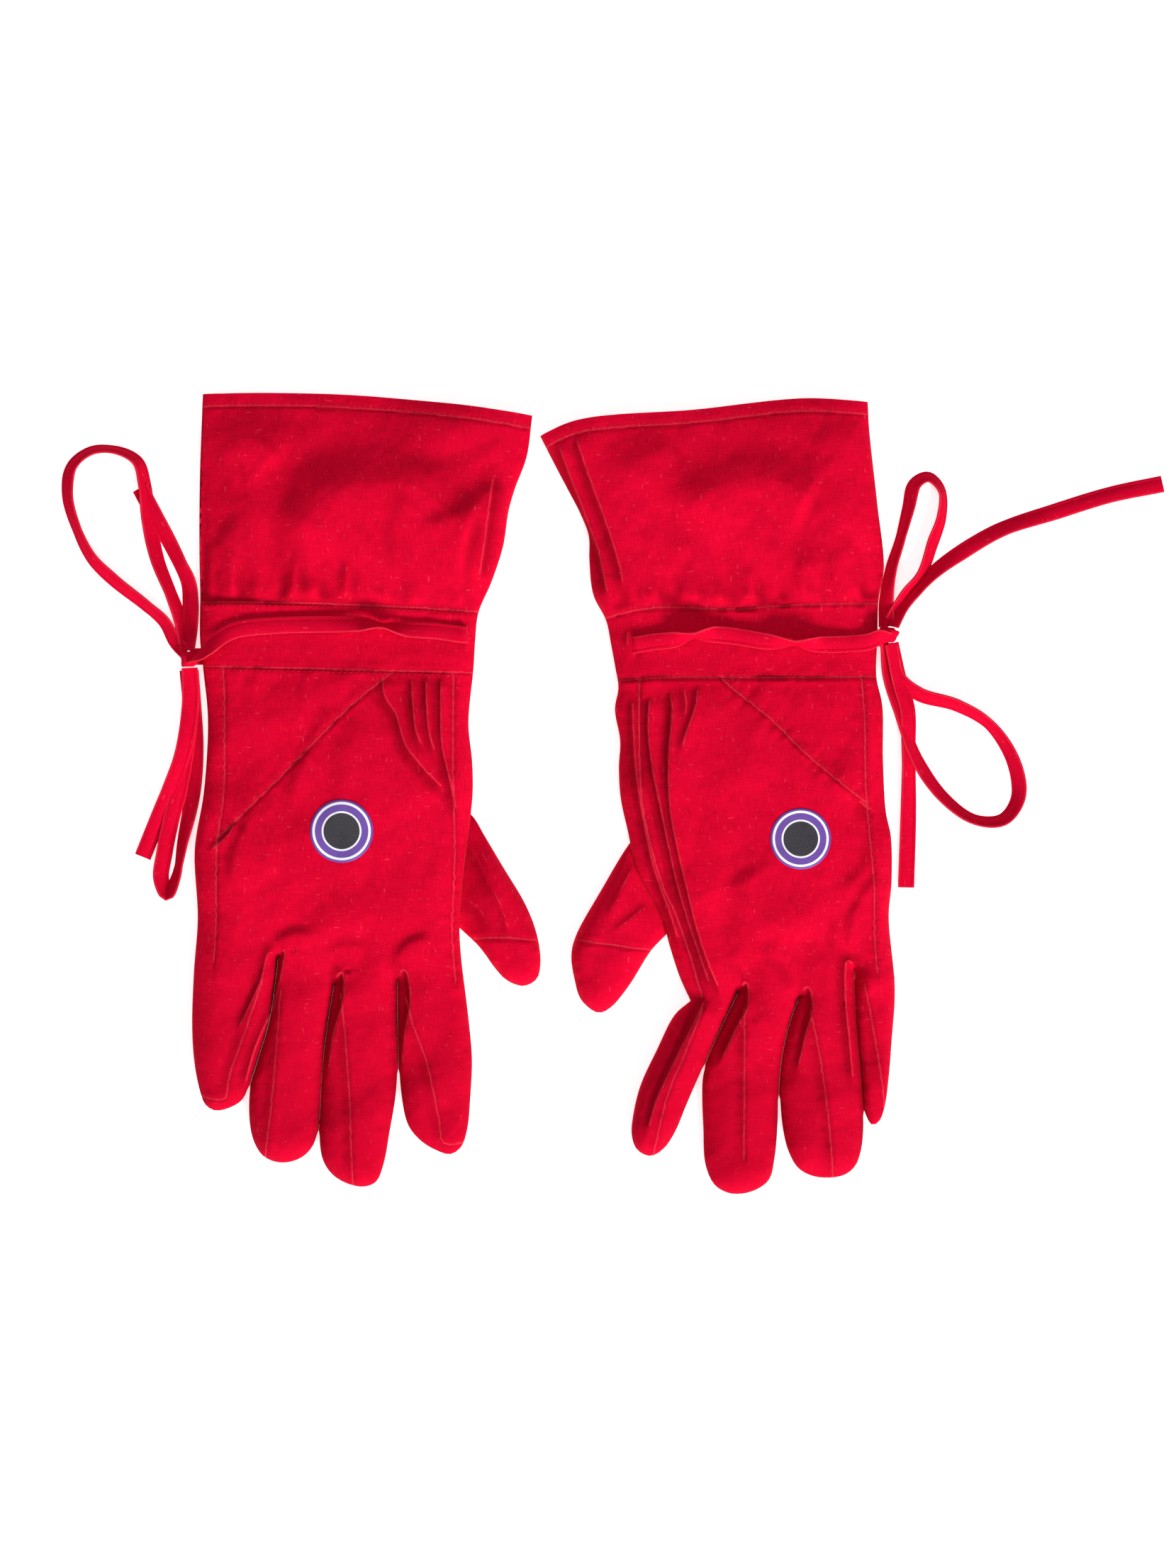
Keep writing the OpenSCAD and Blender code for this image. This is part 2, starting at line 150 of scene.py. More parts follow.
lower_tails = {
    "right": [(-161, 57, 7), (-161, 40, 5.2), (-164, 20, 4.6), (-169, 5, 4.2), (-176, -12, 2.6),
              (-183, -29, 1.4)],
    "left": [(158, 68, 6.5), (162, 50, 4), (165.5, 38, 3.4), (166, 22, 2.8), (166, -8, 1.2),
             (165, -43, 1.2)]}

# %% A ribbon swept along a line
def mesh_object(name, points, faces, material=None, smooth=True):
    mesh = bpy.data.meshes.new(name)
    mesh.from_pydata([tuple(float(c) for c in p) for p in points], [], [tuple(int(i) for i in f) for f in faces])
    mesh.polygons.foreach_set("use_smooth", [smooth] * len(mesh.polygons))
    if material is not None:
        mesh.materials.append(material)
    mesh.update()
    made = bpy.data.objects.new(name, mesh)
    bpy.context.scene.collection.objects.link(made)
    return made


def add_uv(piece, uv_of_vertex):
    layer = piece.data.uv_layers.new(name="cloth")
    corner = np.empty(len(piece.data.loops), np.int32)
    piece.data.loops.foreach_get("vertex_index", corner)
    layer.data.foreach_set("uv", np.asarray(uv_of_vertex, np.float32)[corner].ravel())


def add_value(piece, name, values):
    values = np.broadcast_to(np.asarray(values, np.float32), len(piece.data.vertices))
    piece.data.attributes.new(name, "FLOAT", "POINT").data.foreach_set("value", np.ascontiguousarray(values))


def ribbon(name, route, tilts, wide, thick, step=1.2, lift=True):
    """A folded tape: its cross-section is a flat bar with a stitched groove near one edge."""
    line = even_line(route, step)
    ahead = np.gradient(line, axis=0)
    ahead /= np.linalg.norm(ahead, axis=1)[:, None]
    across = np.cross(ahead, (0.0, 0.0, 1.0))
    across /= np.linalg.norm(across, axis=1)[:, None]
    above = np.cross(across, ahead)
    places = np.linspace(0, 1, len(line))
    turn = np.radians(np.interp(places, np.linspace(0, 1, len(tilts)), tilts))[:, None]
    flat = across * np.cos(turn) + above * np.sin(turn)
    stand = -across * np.sin(turn) + above * np.cos(turn)
    if lift:
        reach = wide / 2 * np.abs(flat[:, 2]) + thick / 2 * np.abs(stand[:, 2]) + 0.3
        line[:, 2] = np.maximum(line[:, 2], reach)
    half, t = wide / 2, thick / 2
    section = [(-1.0, -0.6), (-1.0, 0.6), (-0.93, 1.0), (-0.66, 1.0), (-0.58, 0.72), (-0.5, 1.0), (0.93, 1.0),
               (1.0, 0.6), (1.0, -0.6), (0.93, -1.0), (-0.93, -1.0)]
    rings = np.stack([line + flat * (u * half) + stand * (v * t) for u, v in section], axis=1)
    n, k = len(line), len(section)
    index = np.arange(n * k).reshape(n, k)
    faces = [(index[i, j], index[i, (j + 1) % k], index[i + 1, (j + 1) % k], index[i + 1, j])
             for i in range(n - 1) for j in range(k)]
    faces += [tuple(index[0, ::-1]), tuple(index[-1])]
    rings[..., 2] = np.maximum(rings[..., 2], tape_clear)
    piece = mesh_object(name, rings.reshape(-1, 3) * MM, faces)
    along = np.repeat(np.arange(n) * step, k)
    uv = np.column_stack([np.tile([u * half for u, v in section], n), along]) * MM
    add_uv(piece, uv)
    # A painted highlight on the tape's edges and painted shade in its stitched groove.
    edge = np.tile([1.0 if abs(u) > 0.97 else 0.9 if abs(u) > 0.9 else 0.0 for u, v in section], n)
    add_value(piece, "edge_light", edge)
    add_value(piece, "fold_shade", np.tile([0.6 if -0.6 < u < -0.55 else 0.0 for u, v in section], n))
    recalc(piece)
    piece.data.set_sharp_from_angle(angle=math.radians(40))
    return piece, line


def recalc(piece):
    """Turns every face outwards."""
    work = bmesh.new()
    work.from_mesh(piece.data)
    bmesh.ops.recalc_face_normals(work, faces=work.faces)
    work.to_mesh(piece.data)
    work.free()


# %% The eight loops and tails of the two bows
tape_tilts = {
    "upper_loop": {"right": (30, 50, 42, 55, 40, 62, 48, 35, 52, 40), "left": (20, 50, 60, 40, 62, 45, 58, 30)},
    "upper_tail": {"right": (30, 10, 35, 20, 8), "left": (35, 48, 20, 30, 12, 18, 6)},
    "lower_loop": {"right": (12, 10, 12, 20, 60, 20, 8, 12), "left": (35, 50, 40, 55, 35, 58, 40, 30)},
    "lower_tail": {"right": (25, 10, 30, 15, 8), "left": (30, 20, 35, 15, 10)}}
tie_tapes = {}
for side in SIDES:
    for part, routes in (("upper_loop", upper_loops), ("upper_tail", upper_tails),
                         ("lower_loop", lower_loops), ("lower_tail", lower_tails)):
        node = f"{side}_tie_{part}"
        piece, line = ribbon(f"tape_{node}", routes[side], tape_tilts[part][side], tape_wide, tape_thick)
        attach(piece, f"{side}_hand")
        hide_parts(node)
        tie_tapes[node] = piece

# %% [markdown]
# ## The pattern of each glove
#
# A glove laid flat is two layers of cloth joined along its outline. The outline is drawn as five
# runs with a corner where two runs meet: the mouth of the cuff, then the thumb edge and the index
# finger, and one run for each other finger. The runs between two fingers lie a hair apart, so the
# fingers part there. Each seam is a line that the cloth is later cut along.

# %% Outlines and seams, in millimetres
outline_runs = {
    "right": [
        [(-155.2, 181.5), (-125, 182), (-87, 180.8), (-45, 177.2), (-5.3, 171.8)],
        [(-5.3, 171.8), (-7.9, 152.8), (-13, 139), (-16, 128.6), (-18.5, 112.5), (-23.7, 96.4),
         (-29.8, 82), (-31.2, 70), (-32, 57), (-34.3, 31.9), (-32.6, 14.2), (-32.4, 0), (-34, -15),
         (-36.5, -35), (-38.4, -60), (-37.6, -75), (-35.9, -89), (-34, -105), (-32.7, -121), (-33.4, -137.3),
         (-35, -153.4), (-37.8, -161), (-42.7, -164.1), (-49, -162.3), (-56, -158), (-61.7, -151),
         (-64.8, -137), (-66.1, -117), (-66.5, -98), (-66.7, -84.4)],
        [(-66.7, -84.4), (-66.75, -98), (-66.5, -117), (-67.4, -137), (-70, -153), (-73, -169), (-76.3, -176.6),
         (-81.8, -178.8), (-89, -177.6), (-96, -173.5), (-100.6, -166.5), (-102.1, -152), (-100.6, -125),
         (-98, -103), (-95.2, -86.4)],
        [(-95.2, -86.4), (-98.2, -103), (-100.8, -125), (-102.3, -150), (-105.2, -160.5), (-111, -166),
         (-119.7, -167.9), (-127.5, -165), (-132, -158), (-133.9, -148), (-133.4, -133), (-129.9, -121),
         (-124.6, -103), (-120.7, -74.1)],
        [(-120.7, -74.1), (-124.9, -103), (-130.2, -121), (-133.8, -132), (-137.2, -139.3), (-143, -143),
         (-149.7, -144.2), (-154, -141.5), (-156.4, -135.5), (-159.1, -121), (-160, -105), (-159.2, -80.9),
         (-157.5, -56.7), (-158.9, -25.8), (-154.7, 0.6), (-152.8, 33.2), (-154.8, 55), (-156.4, 70),
         (-156.4, 86.7), (-156.8, 112), (-156.5, 145), (-155.2, 181.5)]],
    "left": [
        [(147.3, 178), (117.2, 179.4), (69.1, 174.2), (15.3, 169.3), (-1.8, 162.4)],
        [(-1.8, 162.4), (4.5, 150), (10.5, 138.6), (16.5, 127), (20.3, 117), (20.6, 106), (22.4, 90),
         (28.2, 78.6), (30.4, 68), (32.4, 57), (33.8, 48), (32.2, 38.4), (34.6, 23.8), (34, 12), (34.8, -2),
         (37.9, -16.4), (42.2, -35), (54, -58), (57, -69), (61.5, -83), (66.6, -94.4)],
        [(66.6, -94.4), (59.5, -100.6), (51.1, -117), (43.7, -133.1), (40.4, -147), (39.8, -155.4),
         (42.2, -162), (48.3, -165), (54.3, -161.8), (59.5, -154.2), (64.4, -142.5), (70.6, -128),
         (76, -116), (82.2, -103), (88.5, -90.2)],
        [(88.5, -90.2), (82.5, -103), (76.4, -116), (72.4, -128), (71.9, -138), (72.4, -152),
         (73.4, -169), (77.5, -178), (83.5, -181.6), (89.6, -182.1), (97, -180), (102.5, -175.5),
         (105, -165), (106.2, -150), (106.6, -134), (109, -115), (112.8, -101), (116.2, -92.5)],
        [(116.2, -92.5), (113.0, -101), (109.25, -115), (107.3, -130), (107.7, -143.7), (108.9, -154),
         (111, -162.5), (115.4, -170.3), (122, -174), (130.1, -174.8), (137, -173.3), (141.5, -169.5),
         (144, -163), (145.2, -153.4), (145, -142), (143.6, -122.5), (141.8, -103), (141.3, -79.6)],
        [(141.3, -79.6), (142.05, -103), (143.85, -122.5), (145.3, -141), (147, -148), (149.5, -151),
         (152.6, -149), (154.9, -142.8), (156.8, -129.2), (158.1, -113.1), (159.6, -89), (156.8, -56.1),
         (158.1, -40.6), (157.8, -19.7), (155.5, -8.4), (154.2, 15.8), (153.9, 40), (151.2, 52.9),
         (151.6, 70), (152.2, 88), (154.6, 102), (151.6, 132), (147.9, 166), (147.3, 178)]]}
hem_deep = 5.8
casing_top = {"right": [(-160, 86.8), (-120, 86.4), (-75, 85), (-25, 82.2)],
              "left": [(20, 77.6), (48.8, 84), (84.3, 83.6), (119.4, 85.6), (160, 86.2)]}
casing_low = {"right": [(-160, 57.8), (-110, 56.6), (-70, 55.6), (-28, 54.6)],
              "left": [(26, 50.4), (58.5, 52.6), (100, 52.6), (158, 53)]}
gusset_seam = {"right": [(-63, 60), (-67.8, 55.8), (-86.9, 40.3), (-104.9, 22.2), (-119.4, 7.4), (-141, -13.9),
                         (-163, -35.4)],
               "left": [(76, 57), (82, 50.6), (103.6, 32.9), (117.8, 18.7), (141.7, -1), (164, -17.8)]}
outer_seam = {"right": [(-145.5, 60), (-144.8, 33), (-145.4, -3), (-148.1, -22), (-148.8, -61), (-150.7, -92)],
              "left": [(143.6, 58), (145.4, 33), (145.8, 5), (147.2, -14), (149.6, -41), (149.8, -62),
                       (151.8, -92)]}
thumb_seam = {"right": [(-41, 60), (-41.2, 14), (-40.4, -28), (-41.6, -62), (-40.4, -82), (-38.6, -96)],
              "left": [(43.2, 56), (43.4, 15), (44.6, -5), (48.2, -23), (53.8, -42), (60.2, -56), (67, -76),
                       (73.4, -99)]}
between_fingers = {"right": [[(-66.6, -75), (-66.6, -84.4), (-66.4, -137), (-68, -185)],
                             [(-95, -80), (-95.2, -86.4), (-100.4, -125), (-102, -150), (-103.5, -185)],
                             [(-120, -66), (-120.7, -74.1), (-124.4, -103), (-129.7, -121), (-134.6, -137),
                              (-135, -185)]],
                   "left": [[(90, -80), (88.5, -90.2), (82.6, -103), (72, -130), (66, -185)],
                            [(116.4, -85), (116.2, -92.5), (113.3, -101.5), (109.5, -115), (107.2, -135),
                             (107.2, -185)],
                            [(141, -70), (141.3, -79.6), (142.3, -103), (144.1, -122.5), (145.7, -145),
                             (146, -185)]]}
fingers = ("index", "middle", "ring", "little")
finger_root = {"right": [(-51.5, -89), (-81.5, -89), (-108.5, -89), (-140, -80)],
               "left": [(77.5, -98), (102, -97), (129.8, -97), (150.5, -84)]}
finger_tip = {"right": [(-47.5, -150), (-86, -163), (-118.5, -153), (-147, -131)],
              "left": [(50, -152.5), (89.5, -165.5), (129.4, -159.6), (150.5, -143.5)]}
finger_half = {"right": [15.5, 15.6, 14.6, 15], "left": [12.6, 15.8, 16.4, 6.6]}
finger_seam = {
    "right": [[(-66, -80), (-58.8, -106), (-53, -122), (-47.3, -149), (-45.5, -158.5), (-36, -158.8)],
              [(-93, -84), (-90.5, -104), (-88, -138), (-86.6, -180)],
              [(-118.6, -76), (-120.4, -105), (-123.6, -143), (-127.2, -170)],
              [(-124, -74), (-134.6, -106), (-142.6, -128.6), (-144.8, -138.4), (-156, -137.8)]],
    "left": [[(75.6, -88), (64.6, -116), (55.6, -138), (48.6, -170)],
             [(90.8, -86), (90.8, -120), (90.6, -168)],
             [(118.5, -90), (124.6, -117), (128.6, -145), (131.6, -178)],
             [(143.6, -78), (149.4, -107), (154.2, -137), (155.5, -155)]]}
for side in SIDES:
    print(side, "outline runs", [len(run) for run in outline_runs[side]])

# %% [markdown]
# ## Cutting the flat cloth
#
# The cloth starts flat. A constrained Delaunay triangulation fills the outline with even
# triangles whose edges also follow every seam, so that a panel can later be lifted out of the
# whole along exact lines. That keeps neighbouring panels matched vertex for vertex.

# %% Flat triangles inside an outline
def inside(points, polygon):
    """Which points lie inside a closed polygon, by counting the edges a ray crosses."""
    hit = np.zeros(len(points), bool)
    x, y = points[:, 0], points[:, 1]
    for (ax, ay), (bx, by) in zip(polygon, np.roll(polygon, -1, axis=0)):
        if ay != by:
            crosses = (ay > y) != (by > y)
            hit ^= crosses & (x < (bx - ax) * (y - ay) / (by - ay) + ax)
    return hit


def near_tree(points):
    tree = KDTree(len(points))
    for i, p in enumerate(points):
        tree.insert((float(p[0]), float(p[1]), 0.0), i)
    tree.balance()
    return tree


def distance_to(tree, points):
    return np.array([tree.find((float(p[0]), float(p[1]), 0.0))[2] for p in points])


def cut_cloth(outline, seams, step):
    """Vertices and triangles of flat cloth inside the outline, cut along the seams."""
    points = list(outline)
    edges = [(i, (i + 1) % len(outline)) for i in range(len(outline))]
    for seam in seams:
        first = len(points)
        points += list(seam)
        edges += [(first + i, first + i + 1) for i in range(len(seam) - 1)]
    low, high = outline.min(0), outline.max(0)
    rows = np.arange(low[1] + step, high[1], step * 0.87)
    grid = np.array([(x + (step / 2 if j % 2 else 0), y) for j, y in enumerate(rows)
                     for x in np.arange(low[0] + step, high[0], step)])
    grid = grid[inside(grid, outline)]
    grid = grid[distance_to(near_tree(points), grid) > 0.62 * step]
    points = np.array(points + list(grid))
    made = delaunay_2d_cdt([Vector((float(x), float(y))) for x, y in points], edges, [], 0, 1e-4)
    flat = np.array([tuple(v) for v in made[0]])
    triangles = np.array([f for f in made[2] if len(f) == 3])
    middle = flat[triangles].mean(1)
    triangles = triangles[inside(middle, outline)]
    a, b, c = (flat[triangles[:, k]] for k in range(3))
    area = (b[:, 0] - a[:, 0]) * (c[:, 1] - a[:, 1]) - (b[:, 1] - a[:, 1]) * (c[:, 0] - a[:, 0])
    triangles = triangles[np.abs(area) > 1e-5]
    flip = area[np.abs(area) > 1e-5] < 0
    triangles[flip] = triangles[flip][:, ::-1]
    used = np.unique(triangles)
    new = np.full(len(flat), -1)
    new[used] = np.arange(len(used))
    return flat[used], new[triangles]


def close_slits(runs, nearest=1.0, gap=0.03):
    """Brings the outlines of neighbouring fingers together where they lie side by side."""
    fine = [even_line(run, 0.1) for run in runs]
    closed = [run.copy() for run in runs]
    for k in range(1, len(runs) - 1):
        for own, other in ((k, k + 1), (k + 1, k)):
            tree = near_tree(fine[other])
            for i, p in enumerate(runs[own]):
                q, _, far = tree.find((p[0], p[1], 0.0))
                shared = min(np.linalg.norm(p - runs[k][-1]), np.linalg.norm(p - runs[k + 1][0])) < 1.0
                if 1e-3 < far < nearest and not shared:
                    middle = (p + np.array(q[:2])) / 2
                    closed[own][i] = middle + (p - middle) / np.linalg.norm(p - middle) * gap / 2
    return closed


def rim_edges(triangles):
    """Edges that only one triangle has, in that triangle's direction."""
    e = np.concatenate([triangles[:, [0, 1]], triangles[:, [1, 2]], triangles[:, [2, 0]]])
    key = np.minimum(e[:, 0], e[:, 1]) * (triangles.max() + 1) + np.maximum(e[:, 0], e[:, 1])
    _, first, count = np.unique(key, return_index=True, return_counts=True)
    return e[first[count == 1]]


# %% Folding the flat cloth up into two joined layers
def subdivide(points, flat, triangles, fixed_edges):
    """Loop's rule: four triangles for each one. Points on fixed edges stay where they are."""
    n = len(points)
    e = np.concatenate([triangles[:, [0, 1]], triangles[:, [1, 2]], triangles[:, [2, 0]]])
    facing = np.concatenate([triangles[:, 2], triangles[:, 0], triangles[:, 1]])
    key = np.minimum(e[:, 0], e[:, 1]) * n + np.maximum(e[:, 0], e[:, 1])
    unique, first, back, count = np.unique(key, return_index=True, return_inverse=True, return_counts=True)
    a, b = e[first, 0], e[first, 1]
    fixed_key = fixed_edges.min(1) * n + fixed_edges.max(1)
    stiff = np.isin(unique, fixed_key) | (count != 2)
    across = np.zeros((len(unique), 3))
    np.add.at(across, back, points[facing])
    middle = np.where(stiff[:, None], (points[a] + points[b]) / 2, (points[a] + points[b]) * 0.375 + across / 8)
    near, many = np.zeros((n, 3)), np.zeros(n)
    np.add.at(near, a, points[b]), np.add.at(near, b, points[a])
    np.add.at(many, a, 1), np.add.at(many, b, 1)
    many = np.maximum(many, 3)
    beta = (0.625 - (0.375 + 0.25 * np.cos(2 * np.pi / many)) ** 2) / many
    moved = points * (1 - many * beta)[:, None] + near * beta[:, None]
    held = np.zeros(n, bool)
    held[np.unique(np.concatenate([a[stiff], b[stiff]]))] = True
    moved[held] = points[held]
    edge_of = (back + n).reshape(3, -1)
    t0, t1, t2 = triangles.T
    m01, m12, m20 = edge_of
    finer = np.stack([np.stack([t0, m01, m20], 1), np.stack([t1, m12, m01], 1), np.stack([t2, m20, m12], 1),
                      np.stack([m01, m12, m20], 1)], 1).reshape(-1, 3)
    finer_flat = np.vstack([flat, (flat[a] + flat[b]) / 2])
    edge_ids = {int(k): i for i, k in enumerate(unique)}
    mids = np.array([edge_ids[int(k)] for k in fixed_key if int(k) in edge_ids]) + n
    kept = np.array([k for k in range(len(fixed_key)) if int(fixed_key[k]) in edge_ids])
    finer_fixed = np.concatenate([np.stack([fixed_edges[kept, 0], mids], 1),
                                  np.stack([mids, fixed_edges[kept, 1]], 1)])
    return np.vstack([moved, middle]), finer_flat, finer, finer_fixed


def vertex_normals(points, triangles):
    a, b, c = (points[triangles[:, k]] for k in range(3))
    face = np.cross(b - a, c - a)
    normal = np.zeros_like(points)
    for k in range(3):
        np.add.at(normal, triangles[:, k], face)
    return normal / np.maximum(np.linalg.norm(normal, axis=1), 1e-12)[:, None]


def neighbour_mean(values, triangles):
    total, many = np.zeros_like(values), np.zeros(len(values))
    for i, j in ((0, 1), (1, 2), (2, 0), (1, 0), (2, 1), (0, 2)):
        np.add.at(total, triangles[:, i], values[triangles[:, j]])
        np.add.at(many, triangles[:, i], 1)
    return total / (np.maximum(many, 1)[:, None] if values.ndim > 1 else np.maximum(many, 1))

# %% [markdown]
# ## The shape of a soft glove
#
# An empty cotton glove lies a little puffed up. Its height rises quickly from the outline, like
# the rim of a lens, and flattens towards the middle. The distance to the outline gives that shape
# for the hand and for every finger at once, because a finger's outline runs round the finger.

# %% Heights of the two layers
def lens(u):
    return np.sqrt(1 - (1 - np.clip(u, 0, 1)) ** 2)


def mottle(x, y, size, seed):
    """Smooth random hills of one size, from -1 to 1, the same each run."""
    grid = np.random.default_rng(seed).uniform(-1, 1, (64, 64))
    u, v = x / size + 17.3, y / size + 29.1
    i, j = np.floor(u).astype(int), np.floor(v).astype(int)
    s, t = u - i, v - j
    s, t = s * s * (3 - 2 * s), t * t * (3 - 2 * t)
    g = lambda a, b: grid[a % 64, b % 64]
    return ((g(i, j) * (1 - s) + g(i + 1, j) * s) * (1 - t) + (g(i, j + 1) * (1 - s) + g(i + 1, j + 1) * s) * t)


def along_and_beside(points, line):
    """For each point its place along a line, from 0 to 1, and its signed distance to the left of it."""
    best = np.full(len(points), 1e9)
    place, beside = np.zeros(len(points)), np.zeros(len(points))
    steps = np.linalg.norm(np.diff(line, axis=0), axis=1)
    so_far, total = np.r_[0, np.cumsum(steps)], steps.sum()
    for k, (a, b) in enumerate(zip(line, line[1:])):
        d = (b - a) / steps[k]
        r = points - a
        t = np.clip(r @ d, 0, steps[k])
        gap = r - t[:, None] * d
        far = np.hypot(gap[:, 0], gap[:, 1])
        near = far < best
        side_of = np.sign(d[0] * r[:, 1] - d[1] * r[:, 0])
        best[near] = far[near]
        place[near] = ((so_far[k] + t) / total)[near]
        beside[near] = (far * side_of)[near]
    return place, beside


def beside(line, by):
    ahead = np.gradient(line, axis=0)
    ahead /= np.linalg.norm(ahead, axis=1)[:, None]
    return line + np.column_stack([-ahead[:, 1], ahead[:, 0]]) * by


def finger_of(side, xy):
    """Which finger a point belongs to, 0 for the index finger: it counts the slits it is beyond."""
    which = np.zeros(len(xy), int)
    for line in between_fingers[side]:
        line = np.array(line[::-1], float)
        x = np.interp(xy[:, 1], line[:, 1], line[:, 0])
        which += (xy[:, 0] - x) * outward[side] > 0
    return which


def finger_frame(side, i):
    root, tip = np.array(finger_root[side][i], float), np.array(finger_tip[side][i], float)
    along = (tip - root) / np.linalg.norm(tip - root)
    return root, along


def beyond_root(side, xy):
    """How far each point lies beyond its own finger's root line."""
    which = finger_of(side, xy)
    far = np.zeros(len(xy))
    for i in range(4):
        root, along = finger_frame(side, i)
        far = np.where(which == i, (xy - root) @ along, far)
    return which, far


edge_z, floor_z = 5.2, 0.45
crown_at = [(-190, 12.6), (-100, 12.6), (-60, 13.4), (0, 13.6), (45, 11.6), (60, 10.6), (82, 10.4), (98, 12),
            (130, 13.2), (160, 11), (183, 8)]
reach_at = [(-190, 16), (-60, 19), (0, 24), (45, 24), (60, 15), (82, 15), (98, 24), (130, 30), (183, 30)]


def layer_heights(side, flat, edge_distance):
    which, far = beyond_root(side, flat)
    crown = np.interp(flat[:, 1], *zip(*crown_at))
    reach = np.interp(flat[:, 1], *zip(*reach_at))
    own = np.array(finger_half[side])[which] * 0.95
    reach = reach + (own - reach) * soft_step(far, -14, 10)
    narrow = np.clip(own / 12, 0.72, 1)
    crown = crown * (1 + (narrow - 1) * soft_step(far, -4, 14))
    top = edge_z + (crown - edge_z) * lens(edge_distance / reach)
    low = edge_z - (edge_z - floor_z) * lens(edge_distance / 8)
    return top, low

# %% [markdown]
# ## Letting the cloth crumple
#
# Real cloth has a little more length than the seams that hold it, so it buckles into soft
# wrinkles that run out from the seams. Blender's Cloth does the same: the outline and the seams
# are pinned, the cloth between them may grow a few percent, and a light pressure keeps the two
# layers apart. It is solved at ten times its size, where the solver is steadier, and how far a
# point may move is capped.

# %% One cloth simulation for each glove
solver_scale = 10.0


def crumple(name, points, triangles, pinned, grow, frames=20, cap=(1.6, 3.2)):
    piece = mesh_object(name, points * MM * solver_scale, triangles)
    sewn = piece.vertex_groups.new(name="sewn")
    for i in np.flatnonzero(pinned):
        sewn.add([int(i)], 1.0, "REPLACE")
    loose = piece.vertex_groups.new(name="loose")
    for i in range(len(points)):
        loose.add([i], float(grow[i]), "REPLACE")
    cloth = piece.modifiers.new("cloth", "CLOTH")
    s = cloth.settings
    s.quality = 4
    s.mass = 0.2
    s.tension_stiffness = s.compression_stiffness = 12
    s.shear_stiffness = 5
    s.bending_stiffness = 0.02
    s.tension_damping = s.compression_damping = s.shear_damping = 6
    s.bending_damping = 0.5
    s.air_damping = 4
    s.vertex_group_mass = "sewn"
    s.pin_stiffness = 1
    s.vertex_group_shrink = "loose"
    s.shrink_min, s.shrink_max = 0.0, -0.14
    s.use_pressure = True
    s.uniform_pressure_force = 0.6
    s.effector_weights.gravity = 0.0
    cloth.collision_settings.use_collision = False
    cloth.collision_settings.use_self_collision = False
    scene = bpy.context.scene
    for frame_number in range(1, frames + 1):
        scene.frame_set(frame_number)
    solved = piece.evaluated_get(bpy.context.evaluated_depsgraph_get())
    moved = np.empty(len(points) * 3)
    solved.data.vertices.foreach_get("co", moved)
    moved = moved.reshape(-1, 3) / MM / solver_scale
    scene.frame_set(1)
    bpy.data.objects.remove(piece)
    step = moved - points
    step[~np.isfinite(step)] = 0
    print(name, "cloth moved", np.round(np.percentile(np.abs(step), [50, 90, 99], axis=0)[:, 2], 2).tolist(), "mm")
    step[:, :2] = cap[0] * np.tanh(step[:, :2] / cap[0])
    step[:, 2] = cap[1] * np.tanh(step[:, 2] / cap[1])
    return points + step

# %% [markdown]
# ## Folds, pleats and puckers
#
# A crisp fold has a sharp side and a soft side: the cloth drops within a millimetre at its edge
# and fades out slowly behind it. A broad fold, with a near side of 1.3 mm or more, is round on
# both sides. A line with a height, a near width and a far width is enough for each. Seams are
# narrow grooves, with the turned-in plies making a low ridge on one side, and small puckers where
# the thread draws the cloth in.

